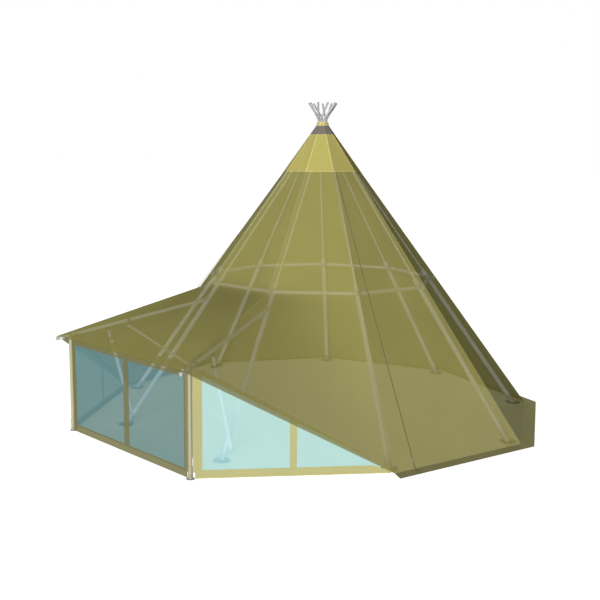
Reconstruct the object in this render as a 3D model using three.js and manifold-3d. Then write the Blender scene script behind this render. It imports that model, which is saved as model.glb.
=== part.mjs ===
// Nine-pole tipi tent with one side raised into a canopy over a window wall.
// Millimetres, +Z up, the ground at z = 0, the window wall at the front, towards -Y.
// Poles are numbered 1 to 9 clockwise from the left front pole, seen from above.
import * as THREE from 'three';
import { mergeVertices } from 'three/addons/utils/BufferGeometryUtils.js';
import Module from 'manifold-3d';

const wasm = await Module();
wasm.setup();

// Plan and heights of the whole tent
const poleCount = 9;
const footRadius = 5000; // circle of the pole feet
const crossingHeight = 6980; // where the poles cross
const hemClearance = 295; // hem corner outside the pole foot
const apexRise = 105; // the cover's ridges would meet this far above the crossing
const flapWidth = 300; // ground flap, outwards from the hem
const canvas = 4; // cloth thickness
const seatGap = 0.3; // between pieces that touch

// Poles
const upperRadius = 24;
const upperWall = 3;
const lowerRadius = 55;
const lowerWall = 5;
const poleClearance = 2; // between neighbouring poles at the crossing
const tipLength = 560; // pole beyond the crossing
const poleOverlap = 800; // upper pole inside the lower one
const lowerAboveRing = 220; // lower pole ends this far above the ring clamp
const neckDepth = 90; // guide bush at the lower pole's mouth
const neckChamfer = 18;
const plateRadius = 180;
const plateThickness = 12;
const socketRadius = 74;
const socketLength = 270;
const footPlug = 60; // solid end of the tube in the socket

// Ring at half height
const ringHeight = 3230;
const ringStandoff = 84; // ring's centre line outside the poles' centre lines
const ringTubeRadius = 40;
const ringTubeWall = 4;
const collarWall = 16;
const collarLength = 130;
const elbowRadius = 46;
const elbowHeight = 84;
const spigotLength = 150;
const spigotWall = 5;
const sleeveStart = 130; // tube end to node centre
const padHalfWidth = 34; // pad under the cover's ridge
const padHeight = 60;

// Crown ring inside the pole bundle
const crownDrop = 280; // below the crossing
const crownBackset = 31; // its middle inside the poles' centre lines
const crownWidth = 60;
const crownThickness = 30;

// Raised side: rafters, props, posts
const rafterDrop = 370; // rafter clamp below the ring
const eaveHeight = 2225; // rafter centre line over the post
const eaveRadius = 6550; // cover corner from the tent's axis
const postInset = 300; // post inside the cover corner
const rafterRadius = 40;
const rafterWall = 4;
const rafterPoke = 24; // rafter end beyond the cover corner
const tipPinRadius = 10;
const tipPinInset = 50;
const eaveLift = 12; // cloth above the rafter at its corner
const propPinHeight = 250;
const propPinRadius = 14;
const propOffset = 124; // prop beside the pole at its foot
const propEyeWidth = 50;
const propRadius = 42;
const propWall = 6;
const propHeadReach = 5400; // prop head from the tent's axis
const propNeck = 210; // inner prop tube that shows
const propOverlap = 600;
const propCupDrop = 12; // lip of the head's cup under the rafter's axis
const propHeadWall = 5;
const propBoreStart = 90; // above the foot pin
const flangeRadius = 92;
const flangeThickness = 16;
const knuckleRadius = 50;
const knuckleHeight = 64;
const postTubeRadius = 40;
const postWall = 4;
const postEnd = 120; // post's lower end above the ground
const kederReach = 12; // rail on the post that holds a wall's edge
const kederThickness = 8;
const kederStart = 420;
const footWall = 8;
const footLength = 260;
const footPlateRadius = 88;
const footPlateThickness = 10;
const braceRadius = 25;
const braceWall = 3;
const braceOverhang = 45; // beyond its lugs
const braceRightReach = 6050; // brace end on the right rafter, from the tent's axis
const braceLeftReach = 4900;
const braceDropRight = 60; // brace centre line below the rafters' centre lines
const braceDropLeft = 130;
const braceLugRadius = 18;

// Cloth above and on the raised side
const coverTopDrop = 280; // cover's top edge below the crossing
const bendRadius = 700; // cloth curve where the raised side leaves the cone
const capDrop = 1155; // cap's hem below the crossing
const capThickness = 3;
const capClearance = 8; // cap's mouth outside the pole bundle
const capTopRise = 6;
const netThickness = 2;
const netHeight = 200;

// Window walls
const wallClearance = 0.5; // under the canopy
const wallHeadHeight = 2140; // top beside the posts
const wallNotchHeight = 125; // cut-out over the post's foot plate
const wallBand = 190; // cloth beside and between the panes
const wallBottomBand = 175;
const wallTopBand = 125;
const sidePostBand = 235; // cloth beside the post, in a side wall
const sideBar = 145; // between a side wall's panes
const sideTopBand = 75;
const wallCornerInset = 40; // side wall aims this far inside the cover's corner
const wallEndClearance = 60; // and ends this far before it
const filmThickness = 2;
const filmLap = 40; // film behind the cloth round each pane

// Door zip
const zipWidth = 30;
const zipThickness = 3;
const zipTopOffset = 60; // from ridge 8 at the cap
const zipHemOffset = 540; // from ridge 8 at the hem
const zipCapClearance = 40;
const sliderWidth = 36;
const sliderLength = 60;
const sliderThickness = 10;
const sliderHeight = 150; // above the ground
const pullLength = 70;
const pullWidth = 14;
const pullThickness = 3;

// Vent cord
const cordRadius = 5;
const cordTopRise = 35; // above the cap's hem
const cordReach = 3200; // low end from the tent's axis

// Facets
const tubeSides = 12;
const pinSides = 24;
const plateSides = 16;
const cordSides = 8;
const cordSteps = 24;
const bendSteps = 3;
const canopyColumns = 4;
const canopyRows = 4;

const bayAngle = (2 * Math.PI) / poleCount;
const halfBay = bayAngle / 2;
const frontAngle = -Math.PI / 2; // middle of the bay between poles 9 and 1

// Direction of pole or ridge k, from the tent's axis
const ridgeAngle = (k) => frontAngle - halfBay + bayAngle * (1 - k);
const rightPole = 9;
const leftPole = 1;

// Cone of the cover and lines of the poles
const hemRadius = footRadius + hemClearance;
const apexHeight = crossingHeight + apexRise;
const coverRadius = (height) => hemRadius * (1 - height / apexHeight);
const coverHeight = (radius) => apexHeight * (1 - radius / hemRadius);
const poleLean = Math.atan2(footRadius, crossingHeight);
const bayTurn = 1 - Math.cos(bayAngle);
const crossSpacing =
  (2 * Math.cos(poleLean) * bayTurn) /
  Math.hypot(Math.cos(poleLean) * Math.sqrt(2 * bayTurn), Math.sin(poleLean) * Math.sin(bayAngle));
const waistRadius = (2 * upperRadius + poleClearance) / crossSpacing;
const bundleRadius = (height) =>
  Math.hypot(waistRadius, Math.tan(poleLean) * (crossingHeight - height)) + upperRadius / Math.cos(poleLean);

const poleFoot = new THREE.Vector3(footRadius, 0, 0);
const poleCross = new THREE.Vector3(0, waistRadius, crossingHeight);
const poleAxis = poleCross.clone().sub(poleFoot).normalize();
const poleAt = (height) => poleFoot.clone().addScaledVector(poleAxis, height / poleAxis.z);
const alongPole = (height) => height / poleAxis.z;

// A geometry as one closed mesh: shared corners merged, no empty triangles, faces outwards
function closed(geometry) {
  const bare = new THREE.BufferGeometry();
  bare.setAttribute('position', geometry.getAttribute('position'));
  if (geometry.index) bare.setIndex(geometry.index);
  const merged = mergeVertices(bare, 1e-3);
  const p = merged.getAttribute('position');
  const index = merged.index.array;
  const kept = [];
  let volume = 0;
  const corner = [new THREE.Vector3(), new THREE.Vector3(), new THREE.Vector3()];
  for (let i = 0; i < index.length; i += 3) {
    const [a, b, c] = [index[i], index[i + 1], index[i + 2]];
    if (a === b || b === c || c === a) continue;
    kept.push(a, b, c);
    corner[0].fromBufferAttribute(p, a);
    corner[1].fromBufferAttribute(p, b);
    corner[2].fromBufferAttribute(p, c);
    volume += corner[0].dot(corner[1].cross(corner[2]));
  }
  if (volume < 0) kept.reverse();
  merged.setIndex(kept);
  merged.computeVertexNormals();
  return merged;
}

function solidOf(geometry) {
  const mesh = closed(geometry);
  return new wasm.Manifold(
    new wasm.Mesh({
      numProp: 3,
      vertProperties: new Float32Array(mesh.getAttribute('position').array),
      triVerts: new Uint32Array(mesh.index.array),
    }),
  );
}

function geometryOf(solid) {
  const mesh = solid.getMesh();
  const geometry = new THREE.BufferGeometry();
  geometry.setAttribute('position', new THREE.BufferAttribute(new Float32Array(mesh.vertProperties), 3));
  geometry.setIndex(new THREE.BufferAttribute(new Uint32Array(mesh.triVerts), 1));
  geometry.computeVertexNormals();
  return geometry;
}

// The first geometry joined with others, then cut by others
function carve(joined, cuts = []) {
  let solid = solidOf(joined[0]);
  for (const geometry of joined.slice(1)) solid = solid.add(solidOf(geometry));
  for (const geometry of cuts) solid = solid.subtract(solidOf(geometry));
  return geometryOf(solid);
}

// Frame with its Z along a direction, at a point
function frameAlong(origin, direction, side = new THREE.Vector3(0, 0, 1)) {
  const z = direction.clone().normalize();
  const x = side.clone().addScaledVector(z, -side.dot(z)).normalize();
  const y = z.clone().cross(x);
  return new THREE.Matrix4().makeBasis(x, y, z).setPosition(origin);
}

// A profile of [radius, height] pairs turned about a frame's Z axis
function turned(profile, frame, sides = tubeSides) {
  const points = profile.map(([r, h]) => new THREE.Vector2(r, h));
  const geometry = new THREE.LatheGeometry(points, sides, Math.PI / sides);
  return geometry.rotateX(Math.PI / 2).applyMatrix4(frame);
}

const rod = (radius, from, to, frame, sides = tubeSides) =>
  turned([[0, from], [radius, from], [radius, to], [0, to]], frame, sides);

// A round rod from one point to another
function rodBetween(a, b, radius, sides = tubeSides) {
  const direction = b.clone().sub(a);
  const side = Math.abs(direction.z) > direction.length() / 2 ? new THREE.Vector3(1, 0, 0) : undefined;
  return rod(radius, 0, direction.length(), frameAlong(a, direction, side), sides);
}

// A closed solid between two grids of points with the same rows and columns
function shell(outer, inner) {
  const rows = outer.length;
  const columns = outer[0].length;
  const points = [...outer.flat(), ...inner.flat()];
  const at = (face, i, j) => face * rows * columns + i * columns + j;
  const index = [];
  const quad = (a, b, c, d) => index.push(a, b, c, a, c, d);
  for (let i = 0; i + 1 < rows; i++) {
    for (let j = 0; j + 1 < columns; j++) {
      quad(at(0, i, j), at(0, i + 1, j), at(0, i + 1, j + 1), at(0, i, j + 1));
      quad(at(1, i, j), at(1, i, j + 1), at(1, i + 1, j + 1), at(1, i + 1, j));
    }
    quad(at(0, i, 0), at(1, i, 0), at(1, i + 1, 0), at(0, i + 1, 0));
    quad(at(0, i, columns - 1), at(0, i + 1, columns - 1), at(1, i + 1, columns - 1), at(1, i, columns - 1));
  }
  for (let j = 0; j + 1 < columns; j++) {
    quad(at(0, 0, j), at(0, 0, j + 1), at(1, 0, j + 1), at(1, 0, j));
    quad(at(0, rows - 1, j), at(1, rows - 1, j), at(1, rows - 1, j + 1), at(0, rows - 1, j + 1));
  }
  const geometry = new THREE.BufferGeometry();
  geometry.setAttribute('position', new THREE.Float32BufferAttribute(points.flatMap((p) => p.toArray()), 3));
  geometry.setIndex(index);
  return closed(geometry);
}

// Points at a radius and height on the ray of an angle
const onRay = (angle, radius, height) =>
  new THREE.Vector3(radius * Math.cos(angle), radius * Math.sin(angle), height);

// Materials
const look = (color, roughness, metalness, opacity = 1) =>
  new THREE.MeshStandardMaterial({ color, roughness, metalness, opacity, transparent: opacity < 1 });
const aluminium = look(0xc8c8c4, 0.4, 0.9);
const steel = look(0x8c8c8a, 0.5, 0.8);
const canvasOlive = look(0x8a8560, 0.9, 0);
const capYellow = look(0xc8bb70, 0.85, 0);
const wallKhaki = look(0xbdb27c, 0.9, 0);
const netGrey = look(0x7d766a, 0.9, 0);
const windowFilm = look(0xa8cfd2, 0.1, 0, 0.5);
const zipBlack = look(0x26241f, 0.7, 0);
const cordGrey = look(0x8d8c86, 0.9, 0);

const tent = new THREE.Group();
function place(name, geometry, material, angle = 0) {
  const mesh = new THREE.Mesh(geometry, material);
  mesh.name = name;
  mesh.rotation.z = angle;
  tent.add(mesh);
}

// Lower pole: foot plate and socket on the ground, tube, guide bush at the mouth
const poleFrame = frameAlong(poleFoot, poleAxis, new THREE.Vector3(0, 1, 0));
const ringAlong = alongPole(ringHeight);
const mouthAlong = ringAlong + lowerAboveRing;
const guideRadius = upperRadius + seatGap;
const groundCut = (top) => {
  const block = new THREE.BoxGeometry(4 * plateRadius, 4 * plateRadius, 4 * plateRadius);
  return block.translate(footRadius, 0, top - 2 * plateRadius);
};

function lowerPoleGeometry(pinSide = 0) {
  const tube = turned(
    [
      [0, 0],
      [lowerRadius, 0],
      [lowerRadius, mouthAlong - neckChamfer],
      [lowerRadius - neckChamfer, mouthAlong],
      [guideRadius, mouthAlong],
      [guideRadius, mouthAlong - neckDepth],
      [lowerRadius - lowerWall, mouthAlong - neckDepth - neckChamfer],
      [lowerRadius - lowerWall, footPlug],
      [0, footPlug],
    ],
    poleFrame,
  );
  const socket = turned(
    [
      [0, 0],
      [socketRadius, 0],
      [socketRadius, socketLength],
      [lowerRadius - lowerWall / 2, socketLength],
      [lowerRadius - lowerWall / 2, footPlug / 2],
      [0, footPlug / 2],
    ],
    poleFrame,
  );
  const plateFrame = new THREE.Matrix4().setPosition(poleFoot);
  const plate = rod(plateRadius, 0, plateThickness, plateFrame, plateSides);
  const stem = carve([tube, socket], [groundCut(plateThickness / 2)]);
  const joined = [stem, plate];
  if (pinSide) {
    const pinCentre = poleAt(propPinHeight);
    const pinEnd = pinCentre.clone();
    pinEnd.y += pinSide * (propOffset + propEyeWidth);
    joined.push(rodBetween(pinCentre, pinEnd, propPinRadius, pinSides));
  }
  return carve(joined);
}

// Upper pole: a tube, open below, plugged at its tip
const upperEnd = mouthAlong - poleOverlap;
const tipAlong = poleFoot.distanceTo(poleCross) + tipLength;
const upperPoleGeometry = () =>
  closed(
    turned(
      [
        [upperRadius - upperWall, upperEnd],
        [upperRadius, upperEnd],
        [upperRadius, tipAlong - upperWall],
        [upperRadius - upperWall, tipAlong],
        [0, tipAlong],
        [0, tipAlong - 2 * upperWall],
        [upperRadius - upperWall, tipAlong - 2 * upperWall],
        [upperRadius - upperWall, upperEnd],
      ],
      poleFrame,
    ),
  );

const plainPole = lowerPoleGeometry();
const upperPole = upperPoleGeometry();
for (let k = 1; k <= poleCount; k++) {
  const pinSide = k === rightPole ? 1 : k === leftPole ? -1 : 0;
  const lower = pinSide ? lowerPoleGeometry(pinSide) : plainPole;
  place(`lower_pole_${k}`, lower, aluminium, ridgeAngle(k));
  place(`upper_pole_${k}`, upperPole, aluminium, ridgeAngle(k));
}

// Ring tube: collar round its pole, elbow outside it, a pad under the cover's ridge,
// the tube to the next pole and the spigot that carries the tube before it
const ringPole = poleAt(ringHeight);
const ringNodeRadius = Math.hypot(ringPole.x, ringPole.y) + ringStandoff;
const ringNodeAngle = Math.atan2(ringPole.y, ringPole.x);
const clothInset = canvas / Math.cos(halfBay); // cloth thickness, measured in a ridge's own plane

// The cover's inner ridge line, measured level
const coverSlope = hemRadius / apexHeight;
const innerRidge = (height) => coverRadius(height) - clothInset * Math.hypot(1, coverSlope);

function ridgePad() {
  const outline = (height) => {
    const edge = innerRidge(height) - seatGap * Math.hypot(1, coverSlope);
    const back = ringNodeRadius - elbowRadius / 2;
    const shoulder = edge - padHalfWidth * Math.tan(halfBay);
    return [
      new THREE.Vector3(back, -padHalfWidth, height),
      new THREE.Vector3(shoulder, -padHalfWidth, height),
      new THREE.Vector3(edge, 0, height),
      new THREE.Vector3(shoulder, padHalfWidth, height),
      new THREE.Vector3(back, padHalfWidth, height),
    ];
  };
  const low = outline(ringHeight - padHeight / 2);
  const high = outline(ringHeight + padHeight / 2);
  const [a, b, c, d, e] = low;
  const [f, g, h, i, j] = high;
  const triangles = [
    [a, c, b], [a, d, c], [a, e, d],
    [f, g, h], [f, h, i], [f, i, j],
    [a, b, g], [a, g, f], [b, c, h], [b, h, g], [c, d, i], [c, i, h],
    [d, e, j], [d, j, i], [e, a, f], [e, f, j],
  ];
  const geometry = new THREE.BufferGeometry();
  const numbers = triangles.flat().flatMap((p) => p.toArray());
  geometry.setAttribute('position', new THREE.Float32BufferAttribute(numbers, 3));
  return geometry;
}

function ringTubeGeometry() {
  const node = onRay(ringNodeAngle, ringNodeRadius, ringHeight);
  const next = onRay(ringNodeAngle + bayAngle, ringNodeRadius, ringHeight);
  const before = onRay(ringNodeAngle - bayAngle, ringNodeRadius, ringHeight);
  const toNext = next.clone().sub(node).normalize();
  const toBefore = before.clone().sub(node).normalize();
  const reach = node.distanceTo(next);
  const bore = ringTubeRadius - ringTubeWall;
  const tube = turned(
    [
      [0, 0],
      [ringTubeRadius, 0],
      [ringTubeRadius, reach - sleeveStart - seatGap],
      [bore, reach - sleeveStart - seatGap],
      [bore, sleeveStart],
      [0, sleeveStart],
    ],
    frameAlong(node, toNext),
  );
  const spigot = turned(
    [
      [0, 0],
      [bore - seatGap, 0],
      [bore - seatGap, sleeveStart + spigotLength],
      [bore - seatGap - spigotWall, sleeveStart + spigotLength],
      [bore - seatGap - spigotWall, sleeveStart],
      [0, sleeveStart],
    ],
    frameAlong(node, toBefore),
  );
  const shoulder = rod(ringTubeRadius, 0, sleeveStart, frameAlong(node, toBefore));
  const elbowFrame = new THREE.Matrix4().setPosition(node);
  const elbow = rod(elbowRadius, -elbowHeight / 2, elbowHeight / 2, elbowFrame);
  const collar = rod(
    lowerRadius + collarWall,
    ringAlong - collarLength / 2,
    ringAlong + collarLength / 2,
    poleFrame,
  );
  const bridge = rodBetween(ringPole, node, elbowRadius / 2);
  const poleHole = rod(lowerRadius + seatGap, ringAlong - collarLength, mouthAlong, poleFrame);
  return carve([collar, bridge, elbow, tube, shoulder, spigot, ridgePad()], [poleHole]);
}

const ringTube = ringTubeGeometry();
for (let k = 1; k <= poleCount; k++) place(`ring_tube_${k}`, ringTube, aluminium, ridgeAngle(k));

// Crown ring: a flat ring with a notch for each upper pole
function crownRingGeometry() {
  const centre = crossingHeight - crownDrop;
  const middle = Math.hypot(poleAt(centre).x, poleAt(centre).y) - crownBackset;
  const ring = turned(
    [
      [middle - crownWidth / 2, centre - crownThickness / 2],
      [middle + crownWidth / 2, centre - crownThickness / 2],
      [middle + crownWidth / 2, centre + crownThickness / 2],
      [middle - crownWidth / 2, centre + crownThickness / 2],
      [middle - crownWidth / 2, centre - crownThickness / 2],
    ],
    new THREE.Matrix4(),
    3 * poleCount,
  );
  const notches = [];
  for (let k = 1; k <= poleCount; k++) {
    const notch = rod(guideRadius, alongPole(centre - crownWidth), alongPole(centre + crownWidth), poleFrame);
    notches.push(notch.rotateZ(ridgeAngle(k)));
  }
  return carve([ring], notches);
}
place('crown_ring', crownRingGeometry(), steel);

// Ridge lines of the cover, as [radius, height] from top to bottom, on the cloth's outer face
const coverTop = crossingHeight - coverTopDrop;
const flapRadius = hemRadius + flapWidth;
const standingRidge = [
  [coverRadius(coverTop), coverTop],
  [coverRadius(clothInset), clothInset],
  [flapRadius, clothInset],
];

// Rafter: clamp collar on its pole, tube to the cover's corner, a pin under the cloth
const rafterPoleHeight = ringHeight - rafterDrop;
const rafterStart = poleAt(rafterPoleHeight);
const postReach = eaveRadius - postInset;
const rafterSlope = (rafterPoleHeight - eaveHeight) / (postReach - Math.hypot(rafterStart.x, rafterStart.y));
const rafterCorner = new THREE.Vector3(eaveRadius, 0, eaveHeight - postInset * rafterSlope);
const rafterAxis = rafterCorner.clone().sub(rafterStart).normalize();
const rafterLevel = Math.hypot(rafterAxis.x, rafterAxis.y);
const rafterAt = (reach) =>
  rafterCorner.clone().addScaledVector(rafterAxis, (reach - eaveRadius) / rafterAxis.x);
const rafterTube = (extra) =>
  rodBetween(
    rafterAt(rafterStart.x),
    rafterAt(eaveRadius + rafterPoke * rafterLevel),
    rafterRadius + extra,
  );
const eaveClothHeight = rafterCorner.z + rafterRadius / rafterLevel + eaveLift + clothInset;

// The raised ridge bends off the cone on an arc that touches both straights
function raisedRidge() {
  const bend = new THREE.Vector2(coverRadius(ringHeight), ringHeight);
  const up = new THREE.Vector2(coverRadius(coverTop), coverTop).sub(bend);
  const out = new THREE.Vector2(eaveRadius, eaveClothHeight).sub(bend);
  const turn = Math.PI - Math.abs(up.angleTo(out));
  const start = bend.clone().addScaledVector(up.clone().normalize(), bendRadius * Math.tan(turn / 2));
  const end = bend.clone().addScaledVector(out.clone().normalize(), bendRadius * Math.tan(turn / 2));
  const curve = new THREE.QuadraticBezierCurve(start, bend, end);
  const arc = curve.getPoints(bendSteps).map((p) => [p.x, p.y]);
  const eave = [];
  for (let i = 1; i <= canopyRows; i++) {
    const p = end.clone().lerp(new THREE.Vector2(eaveRadius, eaveClothHeight), i / canopyRows);
    eave.push([p.x, p.y]);
  }
  return [[coverRadius(coverTop), coverTop], ...arc, ...eave];
}
const raisedLine = raisedRidge();

// Points of the straight ridge beside the canopy, at the same shares of its length
function matchedRidge() {
  const lengths = [0];
  for (let i = 1; i < raisedLine.length; i++) {
    const [a, b] = [raisedLine[i - 1], raisedLine[i]];
    lengths.push(lengths[i - 1] + Math.hypot(b[0] - a[0], b[1] - a[1]));
  }
  const total = lengths.at(-1);
  return lengths.map((length) => {
    const height = coverTop + (clothInset - coverTop) * (length / total);
    return [coverRadius(height), height];
  });
}
const matchedLine = matchedRidge();

// The same line, moved in by the cloth's thickness
function insideOf(line) {
  const normal = (a, b) => new THREE.Vector2(b[1] - a[1], a[0] - b[0]).normalize();
  return line.map((p, i) => {
    const before = i > 0 ? normal(line[i - 1], p) : normal(p, line[i + 1]);
    const after = i + 1 < line.length ? normal(p, line[i + 1]) : before;
    const both = before.clone().add(after);
    const scale = clothInset / (0.5 * both.lengthSq());
    return [p[0] + both.x * scale, p[1] + both.y * scale];
  });
}

// A panel of cloth between the ridges at two angles, short of each by half a seam gap
function panelGrid(lineA, angleA, lineB, angleB, columns) {
  return lineA.map((p, i) => {
    const a = onRay(angleA, p[0], p[1]);
    const b = onRay(angleB, lineB[i][0], lineB[i][1]);
    const seam = seatGap / 2 / Math.cos(halfBay) / a.distanceTo(b);
    return Array.from({ length: columns + 1 }, (_, j) => a.clone().lerp(b, seam + (1 - 2 * seam) * (j / columns)));
  });
}

const raisedPanels = [];
for (let k = 1; k <= poleCount; k++) {
  const nextPole = k === poleCount ? 1 : k + 1;
  const raised = (pole) => pole === rightPole || pole === leftPole;
  const canopy = raised(k) || raised(nextPole);
  const lineOf = (pole) => (!canopy ? standingRidge : raised(pole) ? raisedLine : matchedLine);
  const columns = canopy ? canopyColumns : 1;
  const [a, b] = [ridgeAngle(k), ridgeAngle(k + 1)];
  const outer = panelGrid(lineOf(k), a, lineOf(nextPole), b, columns);
  const inner = panelGrid(insideOf(lineOf(k)), a, insideOf(lineOf(nextPole)), b, columns);
  if (canopy) raisedPanels.push(inner);
  place(`cover_panel_${k}${nextPole}`, shell(outer, inner), canvasOlive);
}

// Height of the canopy's underside over a point of the plan
const straightUp = new THREE.Vector3(0, 0, 1);
function canopyUnderside(x, y) {
  const ray = new THREE.Ray(new THREE.Vector3(x, y, 0), straightUp);
  const hit = new THREE.Vector3();
  let lowest = Infinity;
  for (const grid of raisedPanels) {
    for (let i = 0; i + 1 < grid.length; i++) {
      for (let j = 0; j + 1 < grid[i].length; j++) {
        const [a, b, c, d] = [grid[i][j], grid[i + 1][j], grid[i + 1][j + 1], grid[i][j + 1]];
        for (const [p, q, r] of [[a, b, c], [a, c, d]]) {
          if (ray.intersectTriangle(p, q, r, false, hit)) lowest = Math.min(lowest, hit.z);
        }
      }
    }
  }
  return lowest;
}

// Rafters, props and posts stand at poles 9 and 1; side is +1 at the right, -1 at the left
function rafterGeometry(angle) {
  const collar = rod(
    lowerRadius + collarWall,
    alongPole(rafterPoleHeight) - collarLength / 2,
    alongPole(rafterPoleHeight) + collarLength / 2,
    poleFrame,
  );
  const poleHole = rod(
    lowerRadius + seatGap,
    alongPole(rafterPoleHeight) - 2 * collarLength,
    alongPole(rafterPoleHeight) + 2 * collarLength,
    poleFrame,
  );
  const pinFoot = rafterAt(eaveRadius - tipPinInset);
  let pinTop = Infinity;
  for (let i = 0; i <= tubeSides; i++) {
    const turn = (2 * Math.PI * i) / tubeSides;
    const reach = i < tubeSides ? 2 * tipPinRadius : 0;
    const rim = new THREE.Vector3(pinFoot.x + reach * Math.cos(turn), pinFoot.y + reach * Math.sin(turn), 0);
    rim.applyAxisAngle(straightUp, angle);
    pinTop = Math.min(pinTop, canopyUnderside(rim.x, rim.y));
  }
  const pin = rodBetween(pinFoot, pinFoot.clone().setZ(pinTop - seatGap), tipPinRadius);
  const boreStart = rafterAt(rafterStart.x + 2 * collarLength);
  const boreEnd = rafterAt(eaveRadius + 2 * rafterPoke);
  const bore = rodBetween(boreStart, boreEnd, rafterRadius - rafterWall);
  const tube = carve([rafterTube(0)], [bore]);
  return carve([collar, tube, pin], [poleHole]);
}

const propPin = poleAt(propPinHeight);
const propHeadSeat = rafterAt(propHeadReach);
function propFrame(side) {
  const foot = propPin.clone();
  foot.y += side * propOffset;
  const head = propHeadSeat.clone();
  return { foot, head, axis: head.clone().sub(foot).normalize() };
}
const propTubeLength = (frame) => frame.foot.distanceTo(frame.head) - rafterRadius - knuckleHeight - propNeck;

function propTubeGeometry(side) {
  const prop = propFrame(side);
  const frame = frameAlong(prop.foot, prop.axis, new THREE.Vector3(0, 1, 0));
  const length = propTubeLength(prop);
  const tube = turned(
    [
      [0, 0],
      [propRadius, 0],
      [propRadius, length - flangeThickness],
      [flangeRadius, length - flangeThickness],
      [flangeRadius, length],
      [propRadius - propWall, length],
      [propRadius - propWall, propBoreStart],
      [0, propBoreStart],
    ],
    frame,
  );
  const eyeStart = prop.foot.clone();
  eyeStart.y -= propEyeWidth / 2;
  const eyeEnd = prop.foot.clone();
  eyeEnd.y += propEyeWidth / 2;
  const eye = rodBetween(eyeStart, eyeEnd, propRadius);
  const boreStart = prop.foot.clone();
  boreStart.y -= 2 * propRadius;
  const boreEnd = prop.foot.clone();
  boreEnd.y += 2 * propRadius;
  const boreRadius = (propPinRadius + seatGap) / Math.cos(Math.PI / pinSides);
  return carve([tube, eye], [rodBetween(boreStart, boreEnd, boreRadius, pinSides)]);
}

function propHeadGeometry(side) {
  const prop = propFrame(side);
  const frame = frameAlong(prop.foot, prop.axis, new THREE.Vector3(0, 1, 0));
  const length = propTubeLength(prop);
  const innerRadius = propRadius - propWall - seatGap;
  const inner = turned(
    [
      [innerRadius - propHeadWall, length - propOverlap],
      [innerRadius, length - propOverlap],
      [innerRadius, length + propNeck],
      [0, length + propNeck],
      [0, length + propNeck - knuckleHeight],
      [innerRadius - propHeadWall, length + propNeck - knuckleHeight],
      [innerRadius - propHeadWall, length - propOverlap],
    ],
    frame,
  );
  const lip = prop.foot.distanceTo(prop.head) - propCupDrop;
  const knuckle = rod(knuckleRadius, length + propNeck, lip, frame);
  return carve([inner, knuckle], [rafterTube(seatGap)]);
}

const postFrame = (reach) => new THREE.Matrix4().setPosition(reach);
const postPlan = rafterAt(postReach).setZ(0);

// Plan direction from a post to where a wall's far edge goes, in the post's own bay frame
function postGeometry(angle, wallDirections) {
  const postTop = rafterAt(postReach).z;
  const boreTop = postTop - 2 * rafterRadius;
  const tube = turned(
    [
      [postTubeRadius - postWall, postEnd],
      [postTubeRadius, postEnd],
      [postTubeRadius, postTop],
      [0, postTop],
      [0, boreTop],
      [postTubeRadius - postWall, boreTop],
      [postTubeRadius - postWall, postEnd],
    ],
    postFrame(postPlan),
  );
  const rails = wallDirections.map((direction) => {
    const turn = Math.atan2(direction.y, direction.x) - angle;
    const height = wallHeadHeight - kederStart;
    const rail = new THREE.BoxGeometry(kederReach + postWall / 2, kederThickness, height);
    const railMiddle = postTubeRadius - postWall / 2 + (kederReach + postWall / 2) / 2;
    rail.translate(railMiddle, 0, kederStart + height / 2).rotateZ(turn);
    return rail.translate(postPlan.x, postPlan.y, 0);
  });
  return carve([tube, ...rails], [rafterTube(seatGap)]);
}

const postFootGeometry = () =>
  closed(
    turned(
      [
        [0, 0],
        [footPlateRadius, 0],
        [footPlateRadius, footPlateThickness],
        [postTubeRadius + footWall, footPlateThickness],
        [postTubeRadius + footWall, footLength],
        [postTubeRadius + seatGap, footLength],
        [postTubeRadius + seatGap, footPlateThickness],
        [0, footPlateThickness],
      ],
      postFrame(postPlan),
    ),
  );

const planOf = (point, angle) => point.clone().applyAxisAngle(straightUp, angle).setZ(0);
const sides = [
  { word: 'right', pole: rightPole, side: 1, corner: onRay(ridgeAngle(8), hemRadius - wallCornerInset, 0) },
  { word: 'left', pole: leftPole, side: -1, corner: onRay(ridgeAngle(2), hemRadius - wallCornerInset, 0) },
];
for (const at of sides) {
  at.angle = ridgeAngle(at.pole);
  at.post = planOf(postPlan, at.angle);
}
for (const at of sides) {
  const other = sides.find((s) => s !== at);
  const walls = [other.post.clone().sub(at.post), at.corner.clone().sub(at.post)];
  place(`rafter_${at.word}`, rafterGeometry(at.angle), aluminium, at.angle);
  place(`prop_tube_${at.word}`, propTubeGeometry(at.side), aluminium, at.angle);
  place(`prop_head_${at.word}`, propHeadGeometry(at.side), aluminium, at.angle);
  place(`wall_post_${at.word}`, postGeometry(at.angle, walls), aluminium, at.angle);
  place(`post_foot_${at.word}`, postFootGeometry(), steel, at.angle);
}

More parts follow.
